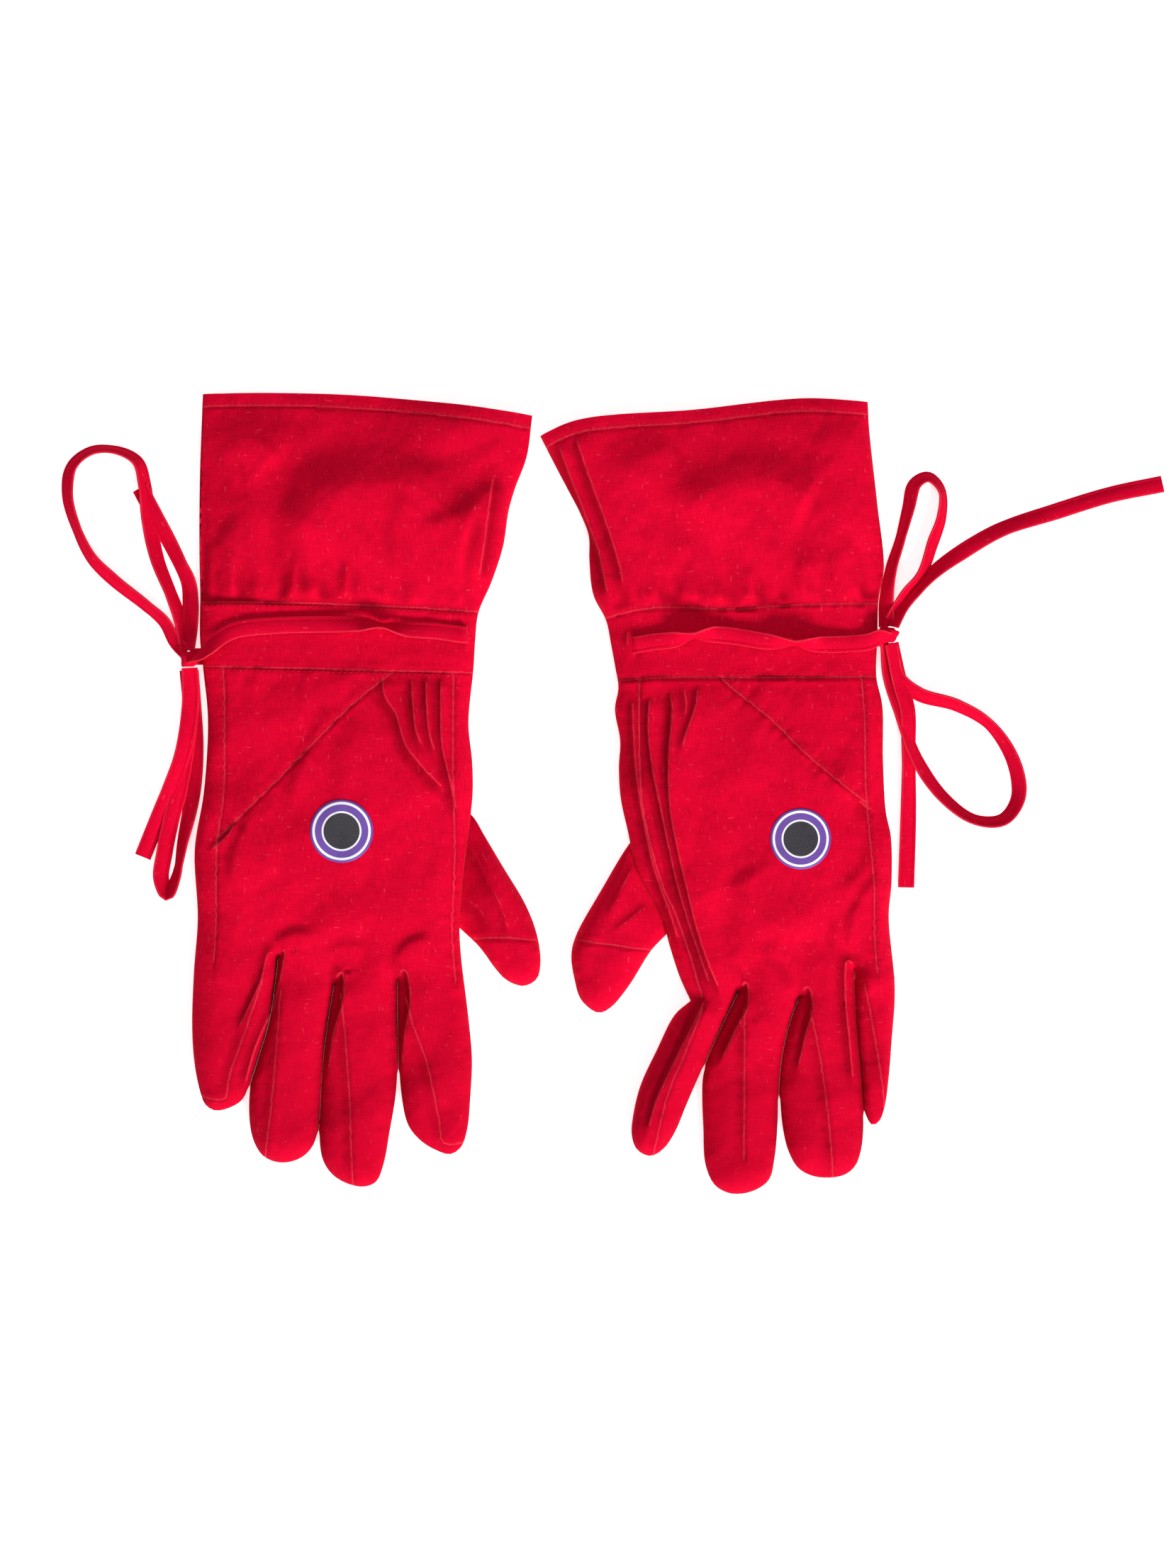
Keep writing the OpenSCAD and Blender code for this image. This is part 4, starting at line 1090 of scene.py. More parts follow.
sheet_sizes = {}
turned_in = 0.0015                          # cloth turned in at each seam, in metres
finger_bend = 16                            # mm beyond its root where the bending zone of a finger or thumb ends
cuff_bend = 18                              # mm beyond the fold line where the bending zone of a cuff ends
for side in SIDES:
    edge = thumb_edge[side]
    cross = even_line(thumb_cross[side], cloth_step)
    flat, tris = cut_cloth(edge, [cross], cloth_step)
    joined = np.zeros(len(flat), bool)
    rim = rim_edges(tris)
    joined[np.unique(rim)] = True
    all_flat, twin, all_tris = two_layers(flat, tris, joined)
    top, low, d = thumb_heights(side, flat)
    z = np.concatenate([top, low[~joined]])
    points = np.column_stack([all_flat, z])
    is_top = np.r_[np.ones(len(tris), bool), np.zeros(len(tris), bool)]
    tip_part = flat[tris].mean(1)[:, 1] < np.interp(flat[tris].mean(1)[:, 0], cross[:, 0], cross[:, 1])
    label = np.r_[tip_part, tip_part]
    points, all_flat, all_tris, rim = subdivide(points, all_flat, all_tris, rim)
    is_top, label = np.repeat(is_top, 4), np.repeat(label, 4)
    top_points = np.zeros(len(points), bool)
    top_points[np.unique(all_tris[is_top])] = True
    fine_edge = even_line(np.vstack([edge, edge[:1]]), 0.4)
    d = distance_to(near_tree(fine_edge), all_flat)
    grow, groove = seam_height(all_flat, cross, 1, 0.6, 0.35, 5 + SIDES.index(side))
    grow, crest, hollow = fold_relief(grow, all_flat, thumb_folds[side])
    x, y = all_flat.T
    grow += 0.35 * mottle(x, y, 9, 41) + 0.14 * mottle(x, y, 3.6, 42)
    points[:, 2] += grow * lens(d / 3) * np.where(top_points, 1, 0.25)
    points[:, 2] = np.maximum(points[:, 2], floor_z)
    normals = vertex_normals(points, all_tris)
    values = light_and_shade(points, normals, all_tris, d, groove * top_points, crest * top_points,
                             hollow * top_points)
    middle, out = root_direction(side)
    start = (*(middle * MM), 0.003)
    end = (*((middle + out * finger_bend) * MM), 0.003)
    for part, chosen in (("thumb", ~label), ("thumb_tip", label)):
        put_panel(f"cloth_{side}_{part}", f"{side}_{part}", f"{side}_thumb", "cloth",
                  declared=(all_tris[chosen & is_top], out, 2.0), blend=(f"{side}_hand", start, end),
                  points=points, flat=all_flat, normals=normals, triangles=all_tris[chosen], values=values,
                  material=cloth_red)
    print(side, "thumb triangles", len(all_tris))

# %% [markdown]
# ## The panels of a hand
#
# The seams divide each layer. A triangle's middle says which panel it is cut for: beyond a
# finger's root line it is that finger's, and between two seams it is the strip's. The back has
# more pieces than the palm, because its seams are the ones that shape a glove.

# %% Which panel each triangle of a hand belongs to
def hem_line(side):
    mouth = even_line(outline_runs[side][0], 2.4)
    ahead = np.gradient(mouth, axis=0)
    ahead /= np.linalg.norm(ahead, axis=1)[:, None]
    inward = np.column_stack([ahead[:, 1], -ahead[:, 0]])
    inward *= np.sign(-inward[:, 1:2])
    line = mouth + inward * hem_deep
    line = np.vstack([line[0] - ahead[0] * 9, line, line[-1] + ahead[-1] * 9])
    return even_line(line, 2.4)


def over(line, xy):
    line = line[np.argsort(line[:, 0])]
    return xy[:, 1] - np.interp(xy[:, 0], line[:, 0], line[:, 1])


def right_of(line, xy):
    line = line[np.argsort(line[:, 1])]
    return xy[:, 0] - np.interp(xy[:, 1], line[:, 1], line[:, 0])


def seam_lines(side):
    lines = {"hem": hem_line(side)}
    for key, table in (("casing_top", casing_top), ("casing_low", casing_low), ("gusset", gusset_seam),
                       ("outer", outer_seam), ("thumb", thumb_seam)):
        lines[key] = even_line(table[side], cloth_step)
    for i, name in enumerate(fingers):
        lines[name] = even_line(finger_seam[side][i], cloth_step)
        root, along = finger_frame(side, i)
        across = np.array([-along[1], along[0]]) * (finger_half[side][i] + 5)
        lines["root_" + name] = even_line([root - across, root, root + across], cloth_step)
    return lines


def panel_names(side, lines, xy, top):
    s = outward[side]
    names = np.full(len(xy), "hand_back" if top else "palm", object)
    if top:
        names[over(lines["gusset"], xy) > 0] = "wrist_gusset"
        names[right_of(lines["outer"], xy) * s > 0] = "outer_strip"
        names[right_of(lines["thumb"], xy) * s < 0] = "thumb_strip"
    which, far = beyond_root(side, xy)
    for i, name in enumerate(fingers):
        here = (which == i) & (far > 0) & (xy[:, 1] < -60)
        back = right_of(lines[name], xy) * s > 0
        names[here] = np.where(back[here], name + "_back", name + "_fourchette") if top else name + "_palm"
    names[over(lines["casing_low"], xy) > 0] = "casing"
    names[over(lines["casing_top"], xy) > 0] = "cuff_back" if top else "cuff_palm"
    names[over(lines["hem"], xy) > 0] = "cuff_hem"
    return names


# %% [markdown]
# ## Relief of a hand
#
# Everything that isn't flat is summed into one height for each point of cloth: the seams, the
# gathers beside the casing, the folds, and broad soft hills of a few sizes. The same sums give the
# lines painted pale, a painted highlight that is partly wear, and the hollows painted in shade.

# %% Seams, gathers, folds and hills as one height
seam_kinds = (                              # ridge's side, depth and pucker in millimetres
    ("hem", -1, 0.45, 0.3), ("casing_top", 1, 0.6, 0.3), ("casing_low", -1, 0.6, 0.3), ("gusset", 1, 0.5, 0.9),
    ("outer", 1, 0.45, 0.3), ("thumb", 1, 0.5, 0.3), ("index", 1, 0.55, 0.3), ("middle", 1, 0.5, 0.3),
    ("ring", 1, 0.5, 0.3), ("little", 1, 0.5, 0.3))
hill_kinds = (                              # angle, length, width and height in millimetres, seed, zone
    (28, 70, 24, 2.2, 3, "cuff"), (-35, 52, 15, 1.1, 4, "cuff"), (80, 34, 10, 0.7, 5, "hand"),
    (25, 46, 14, 0.9, 6, "hand"), (0, 26, 7, 0.35, 7, "casing"))


def by_x(line):
    return line[line[:, 0].argsort()]


def casing_zone(y):
    """1 in the casing, where the tape lies under the cloth, fading to 0 on both sides."""
    return soft_step(y, 46, 56) * (1 - soft_step(y, 87, 97))


def relief(side, flat, lines):
    s, number = outward[side], SIDES.index(side)
    height, mask = np.zeros(len(flat)), np.zeros(len(flat))
    which, far = beyond_root(side, flat)
    for key, ridge, deep, pucker in seam_kinds:
        rise, groove = seam_height(flat, lines[key], ridge * s, deep, pucker, 11 + 3 * len(key) + number)
        keep = np.ones(len(flat))
        if key in fingers:
            keep = soft_step(far, -6, 4) * (which == fingers.index(key))
            rise = rise + fold_height(flat, finger_seam[side][fingers.index(key)], 1.4, 1.2, 8)
        elif key in ("gusset", "outer", "thumb"):
            keep = (1 - soft_step(far, -4, 6)) * (over(lines["casing_low"], flat) < 0)
            if key == "gusset":
                keep = keep * (right_of(lines["outer"], flat) * s < 0)
        height += rise * keep
        mask = np.maximum(mask, groove * keep)
    zones = {"hand": over(lines["casing_low"], flat) < 0, "cuff": over(lines["casing_top"], flat) > 0}
    zones["casing"] = ~zones["hand"] & ~zones["cuff"]
    height += gathers(flat, by_x(lines["casing_top"]), 1, 71 + number, 20, 1.9, 7.0) * zones["cuff"]
    height += gathers(flat, by_x(lines["casing_low"]), -1, 81 + number, 10, 1.0, 5.5) * zones["hand"]
    height, crest, hollow = fold_relief(height, flat, folds[side] + drawn_pleats(side, 300 + number), 1.15)
    x, y = flat.T
    for angle, long, short, up, seed, zone in hill_kinds:
        c, t = math.cos(math.radians(angle)), math.sin(math.radians(angle))
        hills = mottle((x * c + y * t) / long * 10, (y * c - x * t) / short * 10, 10, seed + 10 * number)
        height += up * hills * zones[zone]
    height += 0.22 * mottle(x, y, 5.5, 8 + number) + 0.10 * mottle(x, y, 2.6, 9 + number)
    return height, mask, crest, hollow


def hand_layers(side, flat, d):
    """Heights of both layers: the lower one is raised over the tape and over the thumb's root."""
    top, low = layer_heights(side, flat, d)
    low = np.maximum(low, (floor_z + 1.5 * casing_zone(flat[:, 1])) * lens(d / 3) + edge_z * (1 - lens(d / 3)))
    under_top, _, under_d = thumb_heights(side, flat)
    low = np.maximum(low, np.where(under_d > 0, under_top + 0.9, 0) * soft_step(under_d, 0.2, 5))
    return np.maximum(top, low + 1.2 * lens(d / 3)), low


def sewn_points(flat, all_flat, all_tris, lines, joined, twin):
    """The points that stay where they are while the cloth crumples."""
    pinned = np.zeros(len(all_flat), bool)
    pinned[:len(flat)] |= joined
    for key in [kind[0] for kind in seam_kinds]:
        near = distance_to(near_tree(lines[key]), flat) < 0.7
        pinned[:len(flat)] |= near
        if key in ("casing_top", "casing_low", "hem"):
            pinned[twin[near]] = True
    pinned[np.unique(rim_edges(all_tris))] = True
    return pinned | (over(lines["casing_low"], all_flat) > 0) & (over(lines["casing_top"], all_flat) < 0)


def how_it_rides(side, name):
    """Body, bending zone, direction of the cut and slot of one panel."""
    finger = name.split("_")[0]
    if finger in fingers:
        root, along = finger_frame(side, fingers.index(finger))
        return (f"{side}_{finger}", (f"{side}_hand", (*(root * MM), 0.003),
                                     (*((root + along * finger_bend) * MM), 0.003)), tuple(along), "cloth")
    if name in ("cuff_back", "cuff_palm", "cuff_hem"):
        bend = (f"{side}_hand", (0, fold_y[side] * MM, 0.006), (0, (fold_y[side] + cuff_bend) * MM, 0.006))
        return f"{side}_cuff", bend, (0.0, 1.0), "hem" if name == "cuff_hem" else "cloth"
    return f"{side}_hand", None, (0.0, 1.0), "cloth"

# %% [markdown]
# ## Making the hands
# Each glove is cut flat, folded into its two layers, crumpled, made four times as fine, and given
# its relief. Then every panel is lifted out. The casing and the hem are each one strip folded
# round both layers, so they were cut twice as wide as they lie.

# %% Making the hands, fingers, casings and cuffs
fold_y = {"right": 88.2, "left": 86.2}
skins = {}
for side in SIDES:
    runs = close_slits([even_line(run, cloth_step) for run in outline_runs[side]])
    outline = np.vstack([run[:-1] for run in runs])
    lines = seam_lines(side)
    creases = [even_line(f[0], cloth_step) for f in folds[side] if f[2] < soft_fold]
    creases += [beside(line, -1.5)[1:-1] for line in creases]
    flat, tris = cut_cloth(outline, list(lines.values()) + creases, cloth_step)
    rim = rim_edges(tris)
    on_rim = np.zeros(len(flat), bool)
    on_rim[np.unique(rim)] = True
    joined_tree = near_tree(np.vstack([even_line(run, 0.4) for run in runs[1:]]))
    d = distance_to(joined_tree, flat)
    joined = on_rim & (d < 0.35)
    all_flat, twin, all_tris = two_layers(flat, tris, joined)
    top, low = hand_layers(side, flat, d)
    points = np.column_stack([all_flat, np.concatenate([top, low[~joined]])])
    middles = flat[tris].mean(1)
    names = np.concatenate([panel_names(side, lines, middles, is_back) for is_back in (True, False)])
    is_top = np.r_[np.ones(len(tris), bool), np.zeros(len(tris), bool)]
    pinned = sewn_points(flat, all_flat, all_tris, lines, joined, twin)
    room = np.concatenate([d, d[~joined]])
    grow = np.clip(0.35 + 0.5 * soft_step(room, 2, 14) + 0.4 * (all_flat[:, 1] > 88), 0, 1)
    points = crumple(f"{side}_glove", points, all_tris, pinned, grow)
    points, all_flat, all_tris, rim = subdivide(points, all_flat, all_tris, rim)
    is_top, names = np.repeat(is_top, 4), np.repeat(names, 4)
    top_points = np.zeros(len(points), bool)
    top_points[np.unique(all_tris[is_top])] = True
    d = distance_to(joined_tree, all_flat)
    height, mask, crest, hollow = relief(side, all_flat, lines)
    fade = lens(d / 3.5)
    points[:, 2] += height * fade * np.where(top_points, 1, 0.2)
    floor_here = floor_z + 1.5 * casing_zone(all_flat[:, 1])
    points[:, 2] = np.where(top_points, points[:, 2], np.maximum(points[:, 2], floor_here * fade))
    points[:, 2] = np.maximum(points[:, 2], floor_z)
    normals = vertex_normals(points, all_tris)
    # Painted shade fills the slits between the fingers, and no pale edge is painted there.
    slits = [distance_to(near_tree(even_line(line, 1.0)), all_flat) for line in between_fingers[side]]
    in_slit = (1 - soft_step(np.min(slits, axis=0), 1.2, 3.2)) * soft_step(beyond_root(side, all_flat)[1], -16, -8)
    hollow = np.maximum(hollow, 0.7 * in_slit)
    values = light_and_shade(points, normals, all_tris, np.where(in_slit > 0.5, 9, d), mask * top_points,
                             crest * top_points, hollow * top_points)
    skins[side] = BVHTree.FromPolygons([tuple(p) for p in points],
                                       [tuple(int(i) for i in t) for t in all_tris[is_top]])
    for name in sorted(set(names)):
        body, bend, along, slot = how_it_rides(side, name)
        folded = name in ("casing", "cuff_hem")
        declared = all_tris[(names == name) & is_top] if folded else all_tris[names == name]
        put_panel(f"cloth_{side}_{name}", f"{side}_{name}", body, slot,
                  declared=(declared, along, 2.0 if folded else 1.0), blend=bend, points=points, flat=all_flat,
                  normals=normals, triangles=all_tris[names == name], values=values,
                  material=hem_red if slot == "hem" else cloth_red)
    print(side, "glove panels", len(set(names)), "triangles", len(all_tris), "top",
          round(float(points[:, 2].max()), 1), "mm")
print("cut sizes, mm", sheet_sizes)

# %% [markdown]
# ## The tape round the wrist
#
# The tape comes up out of a slit in the casing, crosses the back of the wrist as one flat tape
# that twists where it is slack, and meets the knot at the outer edge. Inside the casing it goes
# straight back. It is laid on the skin by asking the finished surface for its height.

# %% Laying the tape on the casing
tape_runs = {
    "right": [(-155.4, 62.5), (-151.6, 65.8), (-145.8, 71), (-138.6, 74.2), (-124.1, 75.8), (-109.6, 76.4),
              (-95.1, 76.5), (-83.5, 76.6), (-73.3, 75.8), (-61.7, 74.2), (-50.1, 73.6), (-41, 72.4), (-36.5, 71.8)],
    "left": [(152, 70.8), (147, 68.6), (140, 67.8), (125.9, 67.3), (113.8, 67.9), (100.3, 68.8), (89, 70.7),
             (77.6, 71.9), (67.7, 71.3), (57.8, 69.4), (49.3, 68.5), (44.5, 67.6), (41.6, 67.2)]}
tape_turns = {                              # how far the tape is tilted at each of those points, in degrees
    "right": (55, 35, 14, 4, 2, 4, 8, 24, 80, 22, 8, 6, 5),
    "left": (30, 10, 4, 12, 82, 16, 4, 14, 82, 14, 4, 4, 6)}


def skin_height(side, x, y, default=5.0):
    hit = skins[side].ray_cast(Vector((float(x), float(y), 80.0)), Vector((0, 0, -1)))
    return hit[0].z if hit[0] is not None else default


def on_skin(side, line, above):
    """Heights over the skin along a line, smoothed so that a tape spans small hollows."""
    z = np.array([skin_height(side, x, y) for x, y in line])
    for _ in range(6):
        z = np.maximum(z, np.convolve(np.pad(z, 3, mode="edge"), np.ones(7) / 7, "valid"))
    z = np.convolve(np.pad(z, 2, mode="edge"), np.ones(5) / 5, "valid")
    return np.column_stack([line, z + above])


def join(name, pieces):
    """Several meshes as one."""
    bpy.ops.object.select_all(action="DESELECT")
    for p in pieces:
        p.select_set(True)
    bpy.context.view_layer.objects.active = pieces[0]
    bpy.ops.object.join()
    pieces[0].name = pieces[0].data.name = name
    return pieces[0]


for side in SIDES:
    s = outward[side]
    line = even_line(tape_runs[side], 3.0)
    turn = np.interp(line[:, 0] * -s, np.array(tape_runs[side])[:, 0] * -s, tape_turns[side])
    slack = 1.2 * np.sin(np.linspace(0, math.pi, len(line)))
    lying = on_skin(side, line, 0.75)
    lying[:, 2] += tape_wide / 2 * np.sin(np.radians(turn)) * 0.85 + slack
    x_out, x_in = lying[0, 0], lying[-1, 0]
    drop_out = [(x_out + s * 2.6, lying[0, 1] - 0.6, lying[0, 2] - 1.6), (x_out + s * 4.6, lying[0, 1] - 1, 5.6)]
    drop_in = [(x_in - s * 1.0, lying[-1, 1], lying[-1, 2] - 1.0), (x_in - s * 1.6, lying[-1, 1], lying[-1, 2] - 2.6),
               (x_in - s * 1.6, lying[-1, 1], lying[-1, 2] - 4.2)]
    route = np.vstack([drop_out[::-1], lying, drop_in])
    turns = np.r_[turn[0], turn[0], turn, turn[-1], turn[-1], turn[-1]]
    far = np.r_[0, np.cumsum(np.linalg.norm(np.diff(route, axis=0), axis=1))] / line_length(route)
    tilts = np.interp(np.linspace(0, 1, 80), far, turns)
    over_wrist, _ = ribbon(f"tape_{side}_over", route, tilts, tape_wide, 0.9, lift=False)
    a, b = tape_runs[side][0], tape_runs[side][-1]
    under = [(a[0] + s * 4.6, a[1] - 0.4, 4.6), (a[0] + s * 2.4, a[1] - 0.2, 1.6), (a[0] - s * 2, a[1], 0.75),
             ((a[0] + b[0]) / 2, (a[1] + b[1]) / 2, 0.7), (b[0] + s * 6, b[1], 0.75), (b[0] + s * 1.6, b[1], 1.0)]
    under_wrist, _ = ribbon(f"tape_{side}_under", under, (0, 0, 0), tape_wide, 0.9, lift=False)
    band = join(f"tape_{side}_band", [over_wrist, under_wrist])
    band.data.materials.clear()
    band.data.materials.append(tape_red)
    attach(band, f"{side}_hand")
    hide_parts(f"{side}_tie_band")
    print(side, "band points", len(band.data.vertices))

# %% [markdown]
# ## The knots
#
# A half bow is tied round the tape: two snug wraps, crossed, over a squeezed middle. Each wrap is
# a short closed ribbon bent round the bundle, and the middle is a small pinched pad of tape.

# %% Wrapping the knots
def wrap(name, centre, long_axis, radii, wide, thick, lean=0.0, slew=0.0):
    """A closed band of tape round an axis: radii across it, a lean and a slew tilt the ring."""
    axis = Vector(long_axis).normalized()
    side_dir = axis.cross(Vector((0, 0, 1))).normalized()
    up = side_dir.cross(axis)
    axis = (axis + side_dir * math.tan(math.radians(slew)) + up * math.tan(math.radians(lean))).normalized()
    n, points, faces = 36, [], []
    section = [(-1, 0.3), (-0.85, 1), (-0.4, 1.25), (0, 1.0), (0.45, 1.3), (0.85, 1), (1, 0.3), (0.8, -0.8),
               (0, -1), (-0.8, -0.8)]
    for i in range(n):
        angle = 2 * math.pi * i / n
        swell = 1 + 0.07 * math.sin(3 * angle + 1)
        out = (side_dir * math.cos(angle) + up * math.sin(angle)).normalized()
        base = (Vector(centre) + side_dir * (radii[0] * swell * math.cos(angle))
                + up * (radii[1] * swell * math.sin(angle)))
        for u, v in section:
            points.append(base + axis * (u * wide / 2) + out * (v * thick / 2))
    k = len(section)
    for i in range(n):
        for j in range(k):
            faces.append((i * k + j, i * k + (j + 1) % k, ((i + 1) % n) * k + (j + 1) % k, ((i + 1) % n) * k + j))
    piece = mesh_object(name, [p * MM for p in points], faces)
    add_uv(piece, np.array([(j * 0.8, i * 0.7) for i in range(n) for j in range(k)]) * MM)
    # Painted highlight on the wrap's edges, and painted shade on its underside and across its middle.
    add_value(piece, "edge_light", np.tile([0.86, 0.5, 0, 0, 0, 0.5, 0.86, 0.4, 0, 0.4], n))
    add_value(piece, "fold_shade", np.tile([0.1, 0, 0, 0.25, 0, 0, 0.1, 0.6, 0.8, 0.6], n))
    recalc(piece)
    return piece


for side in SIDES:
    s = outward[side]
    cx, cy, cz = knots[side][0] + s * 0.4, knots[side][1], 5.4
    pieces = [wrap(f"knot_{side}_a", (cx, cy, cz), (0.25 * s, 1, 0), (3.1, 3.4), 5.6, 1.2, lean=8, slew=14),
              wrap(f"knot_{side}_b", (cx - s * 1.6, cy + 0.6, cz + 0.9), (1, 0.35 * s, 0), (3.3, 2.9), 4.2, 1.2,
                   lean=-10, slew=-16),
              wrap(f"knot_{side}_c", (cx, cy, cz), (0, 1, 0.1), (1.5, 1.6), 6.6, 2.6)]
    knot = join(f"tape_{side}_knot", pieces)
    knot.data.materials.clear()
    knot.data.materials.append(tape_red)
    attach(knot, f"{side}_hand")
    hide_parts(f"{side}_tie_knot")

# %% [markdown]
# ## The printed badges
#
# A thin round transfer is pressed on the back of each hand, so it takes the hills of the cloth
# under it. The real one carries a mark; here it is plain rings in the same colours. The disc has
# rings of vertices dropped onto the skin, and the rings of colour read its own flat pattern.

# %% A thin disc that follows the cloth, and its print
badge_r = {"right": 14.3, "left": 13.8}
badge_centre = {"right": (-91.4, -17.1), "left": (116.2, -20.6)}
print_recipe = Recipe("badge_print")
badge_uv = print_recipe.node("ShaderNodeUVMap", {"uv_map": "cloth"})
badge_len = print_recipe.node("ShaderNodeVectorMath", {"operation": "LENGTH"}, {0: badge_uv}, out=1)
grain = print_recipe.node("ShaderNodeTexNoise", None, {"Vector": badge_uv, "Scale": 1800.0, "Detail": 1.0})
reach = badge_len * 1000.0 + (grain - 0.5) * 0.12
white, violet, ink = (0.86, 0.85, 0.88), (0.125, 0.045, 0.33), (0.012, 0.010, 0.016)
rings = print_recipe.mix(print_recipe.step(reach, 8.1, 8.3), ink, white)
rings = print_recipe.mix(print_recipe.step(reach, 8.9, 9.1), rings, violet)
rings = print_recipe.mix(print_recipe.step(reach, 12.0, 12.2), rings, white)
rings = print_recipe.mix(print_recipe.step(reach, 13.1, 13.3), rings, violet)
rings = print_recipe.mix((grain - 0.35) * 0.16, rings, (0.5, 0.45, 0.55))
print_bump = print_recipe.node("ShaderNodeBump", None, {"Strength": 0.25, "Distance": 0.0001, "Height": grain})
badge_print = print_recipe.surface(base_color=rings, roughness=0.42 + grain * 0.12, normal=print_bump,
                                   specular_ior_level=0.4)
for side in SIDES:
    cx, cy = badge_centre[side]
    around, radii = 72, np.array([1.5, 3, 4.5, 6, 7.5, 9, 10.5, 12, 13, 13.7, 14.0]) / 14.0 * badge_r[side]
    flat = [(0.0, 0.0)] + [(r * math.cos(2 * math.pi * k / around), r * math.sin(2 * math.pi * k / around))
                           for r in radii for k in range(around)]
    height = np.array([skin_height(side, cx + u, cy + v) for u, v in flat])
    n = len(flat)
    rise = np.full(n, 0.42)
    rise[-around:] = 0.22
    top = [(cx + u, cy + v, z + h) for (u, v), z, h in zip(flat, height, rise)]
    low = [(cx + u, cy + v, z - 0.25) for (u, v), z in zip(flat, height)]
    ring = lambda r, k: 1 + r * around + k % around
    faces = [(0, ring(0, k), ring(0, k + 1)) for k in range(around)]
    faces += [(ring(r, k), ring(r + 1, k), ring(r + 1, k + 1), ring(r, k + 1)) for r in range(len(radii) - 1)
              for k in range(around)]
    under = [tuple(i + n for i in f[::-1]) for f in faces]
    last = len(radii) - 1
    wall = [(ring(last, k + 1), ring(last, k), ring(last, k) + n, ring(last, k + 1) + n) for k in range(around)]
    badge = mesh_object(f"badge_{side}", [tuple(c * MM for c in p) for p in top + low], faces + under + wall,
                        badge_print)
    recalc(badge)
    add_uv(badge, np.array(flat + flat) * MM * 14.3 / badge_r[side])
    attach(badge, f"{side}_hand")
    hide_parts(f"{side}_badge")
    print(side, "badge faces", len(badge.data.polygons))

# %% [markdown]
# ## Stitches
#
# Each seam is held by a lockstitch: short loops of thread with a small gap between them. They
# repeat along a line, so Geometry Nodes makes them: the line becomes a curve, a point every pitch
# gets one small rounded stitch turned along it, and the result is made a plain mesh.

# %% The tree that sews along a line
thread_recipe = Recipe("red_thread")
thread_noise = thread_recipe.node("ShaderNodeTexNoise", None, {
    "Vector": thread_recipe.node("ShaderNodeTexCoord", None, None, out=3), "Scale": 900.0, "Detail": 1.0})
thread_colour = thread_recipe.mix(thread_noise, (0.46, 0.002, 0.02), (0.70, 0.012, 0.045))
thread_red = thread_recipe.surface(base_color=thread_colour, roughness=0.7 + thread_noise * 0.15,
                                   specular_ior_level=0.1)


def stitch_tree():
    tree = bpy.data.node_groups.new("sew_along_line", "GeometryNodeTree")
    face = tree.interface
    face.new_socket("Geometry", in_out="INPUT", socket_type="NodeSocketGeometry")
    sockets = {}
    for name, value in (("Pitch", 0.0028), ("Stitch length", 0.0021), ("Thread width", 0.0006)):
        made = face.new_socket(name, in_out="INPUT", socket_type="NodeSocketFloat")
        made.default_value = value
        sockets[name] = made.identifier
    material = face.new_socket("Thread", in_out="INPUT", socket_type="NodeSocketMaterial")
    sockets["Thread"] = material.identifier
    face.new_socket("Geometry", in_out="OUTPUT", socket_type="NodeSocketGeometry")
    new, link = tree.nodes.new, tree.links.new
    start, end = new("NodeGroupInput"), new("NodeGroupOutput")
    curve, spots = new("GeometryNodeMeshToCurve"), new("GeometryNodeCurveToPoints")
    ball = new("GeometryNodeMeshUVSphere")
    spots.mode = "LENGTH"
    ball.inputs["Segments"].default_value, ball.inputs["Rings"].default_value = 6, 5
    ball.inputs["Radius"].default_value = 0.5
    size, place = new("ShaderNodeCombineXYZ"), new("GeometryNodeInstanceOnPoints")
    real, paint = new("GeometryNodeRealizeInstances"), new("GeometryNodeSetMaterial")
    link(start.outputs["Geometry"], curve.inputs["Mesh"])
    link(curve.outputs["Curve"], spots.inputs["Curve"])
    link(start.outputs["Pitch"], spots.inputs["Length"])
    link(spots.outputs["Points"], place.inputs["Points"])
    link(spots.outputs["Rotation"], place.inputs["Rotation"])
    link(ball.outputs["Mesh"], place.inputs["Instance"])
    link(start.outputs["Thread width"], size.inputs[0])
    link(start.outputs["Thread width"], size.inputs[1])
    link(start.outputs["Stitch length"], size.inputs[2])
    link(size.outputs[0], place.inputs["Scale"])
    link(place.outputs["Instances"], real.inputs["Geometry"])
    link(real.outputs["Geometry"], paint.inputs["Geometry"])
    link(start.outputs["Thread"], paint.inputs["Material"])
    link(paint.outputs["Geometry"], end.inputs["Geometry"])
    return tree, sockets


sewing, sewing_inputs = stitch_tree()


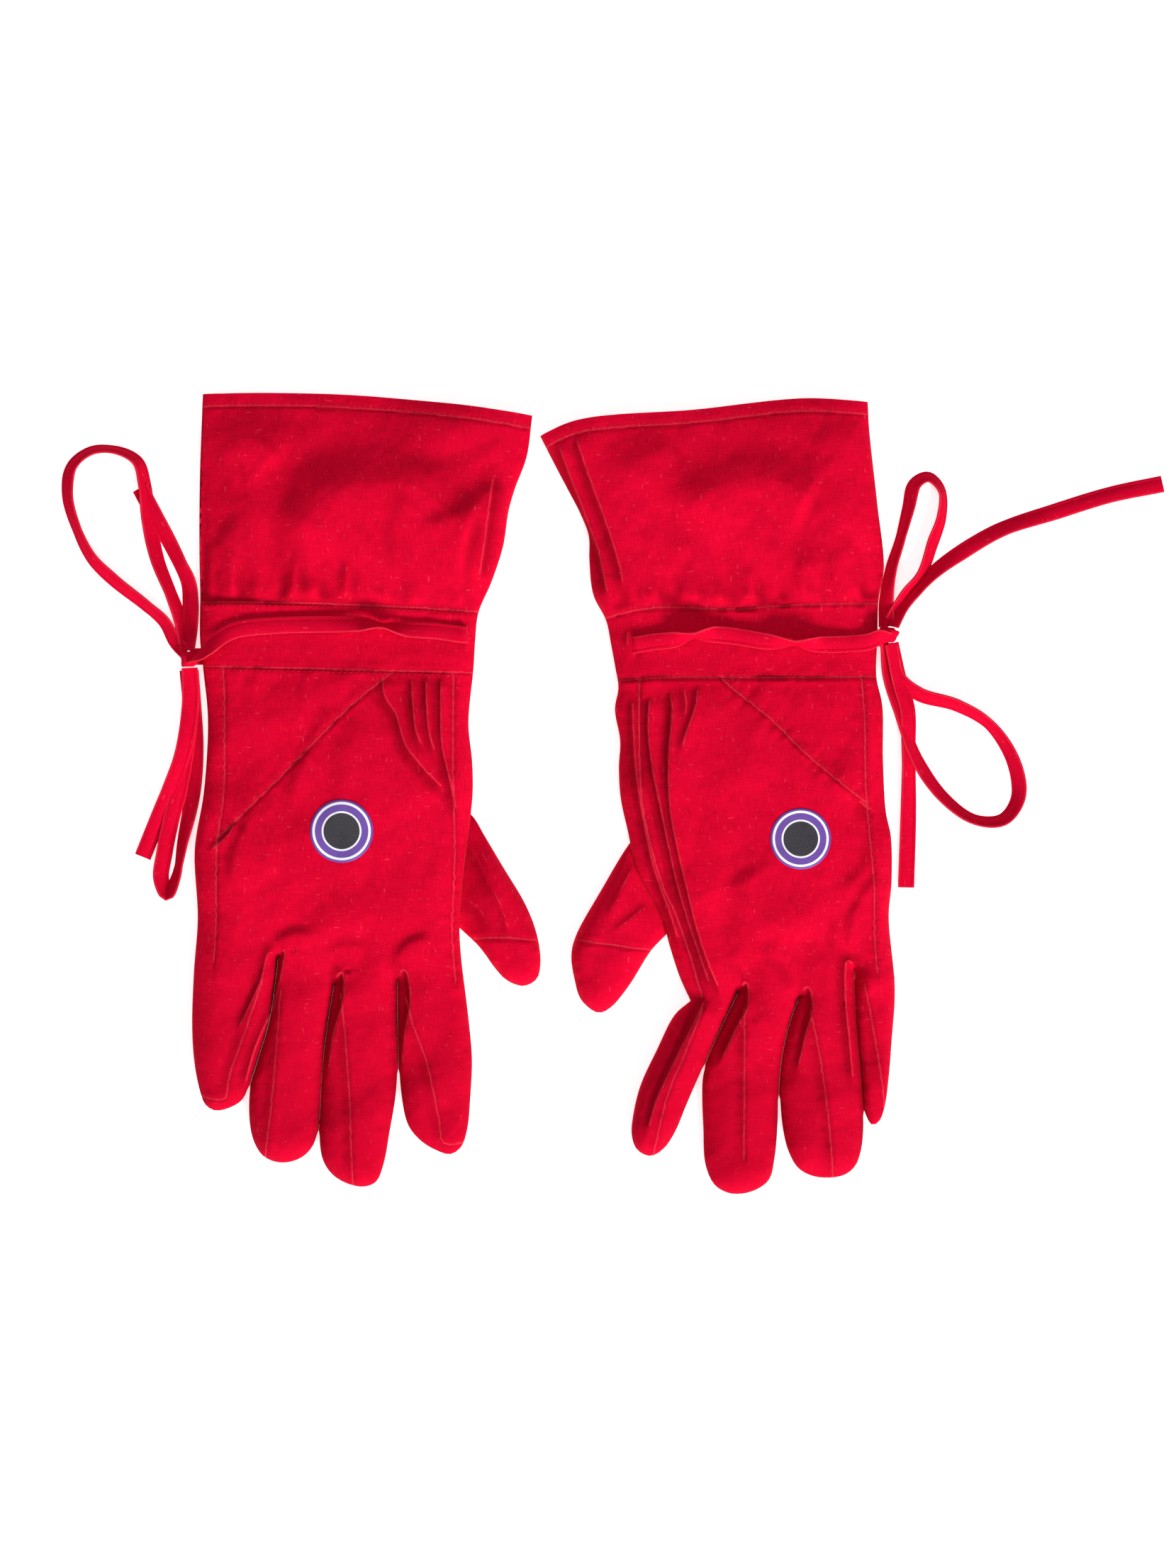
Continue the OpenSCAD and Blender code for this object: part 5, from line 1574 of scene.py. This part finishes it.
def sew(name, lines, pitch=2.6, long=1.7, wide=0.34):
    """One mesh of stitches along several lines of points, in millimetres."""
    points, edges = [], []
    for line in lines:
        first = len(points)
        points += [tuple(float(c) * MM for c in p) for p in line]
        edges += [(first + i, first + i + 1) for i in range(len(line) - 1)]
    mesh = bpy.data.meshes.new(name + "_line")
    mesh.from_pydata(points, edges, [])
    carrier = bpy.data.objects.new(name + "_line", mesh)
    bpy.context.scene.collection.objects.link(carrier)
    run = carrier.modifiers.new("sewing", "NODES")
    run.node_group = sewing
    for key, value in (("Pitch", pitch * MM), ("Stitch length", long * MM), ("Thread width", wide * MM),
                       ("Thread", thread_red)):
        run[sewing_inputs[key]] = value
    bpy.context.view_layer.update()
    made = bpy.data.meshes.new_from_object(carrier.evaluated_get(bpy.context.evaluated_depsgraph_get()))
    bpy.data.objects.remove(carrier)
    made.name = name
    piece = bpy.data.objects.new(name, made)
    bpy.context.scene.collection.objects.link(piece)
    made.polygons.foreach_set("use_smooth", [True] * len(made.polygons))
    return piece


# %% Sewing the gloves
def laid(side, line, keep=None, above=0.03):
    """The parts of a line that lie on the skin, as runs of points on it."""
    runs, run = [], []
    for x, y in line:
        z = skin_height(side, x, y, -1)
        if z > 6.4 and (keep is None or keep(x, y)):
            run.append((x, y, z + above))
        elif run:
            runs.append(run)
            run = []
    if run:
        runs.append(run)
    return [r for r in runs if len(r) > 3]


for side in SIDES:
    s = outward[side]
    lines = seam_lines(side)
    above_hand = lambda x, y: y < np.interp(x, *lines["casing_low"][lines["casing_low"][:, 0].argsort()].T) - 1
    not_strip = lambda x, y: (x - np.interp(y, *lines["outer"][::-1, ::-1].T)) * s < 0 and above_hand(x, y)
    hand_lines = []
    for key, by in (("casing_top", 1.3 * s), ("casing_low", 1.3 * s)):
        hand_lines += laid(side, beside(lines[key], by), lambda x, y: y < fold_y[side] - 0.3)
    hand_lines += laid(side, beside(lines["gusset"], 1.4 * s), not_strip)
    hand_lines += laid(side, beside(lines["outer"], 1.2 * s), above_hand)
    stitches = sew(f"stitches_{side}_hand", hand_lines)
    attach(stitches, f"{side}_hand")
    mouth = lines["hem"]
    cuff_lines = laid(side, beside(mouth, 0.9 if mouth[-1, 0] > mouth[0, 0] else -0.9))
    stitches_cuff = sew(f"stitches_{side}_cuff", cuff_lines)
    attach(stitches_cuff, f"{side}_cuff")
    print(side, "stitch faces", len(stitches.data.polygons) + len(stitches_cuff.data.polygons))

# %% [markdown]
# ## The rest of the frame
#
# Any part of the frame that is still shown is given the tape's cloth.

# %% The rest of the frame gets the tape's cloth
left_over = [n for n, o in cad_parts.items() if not o.hide_render]
print("frame nodes not yet replaced", left_over)
for n in left_over:
    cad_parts[n].data.materials.clear()
    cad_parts[n].data.materials.append(tape_red)
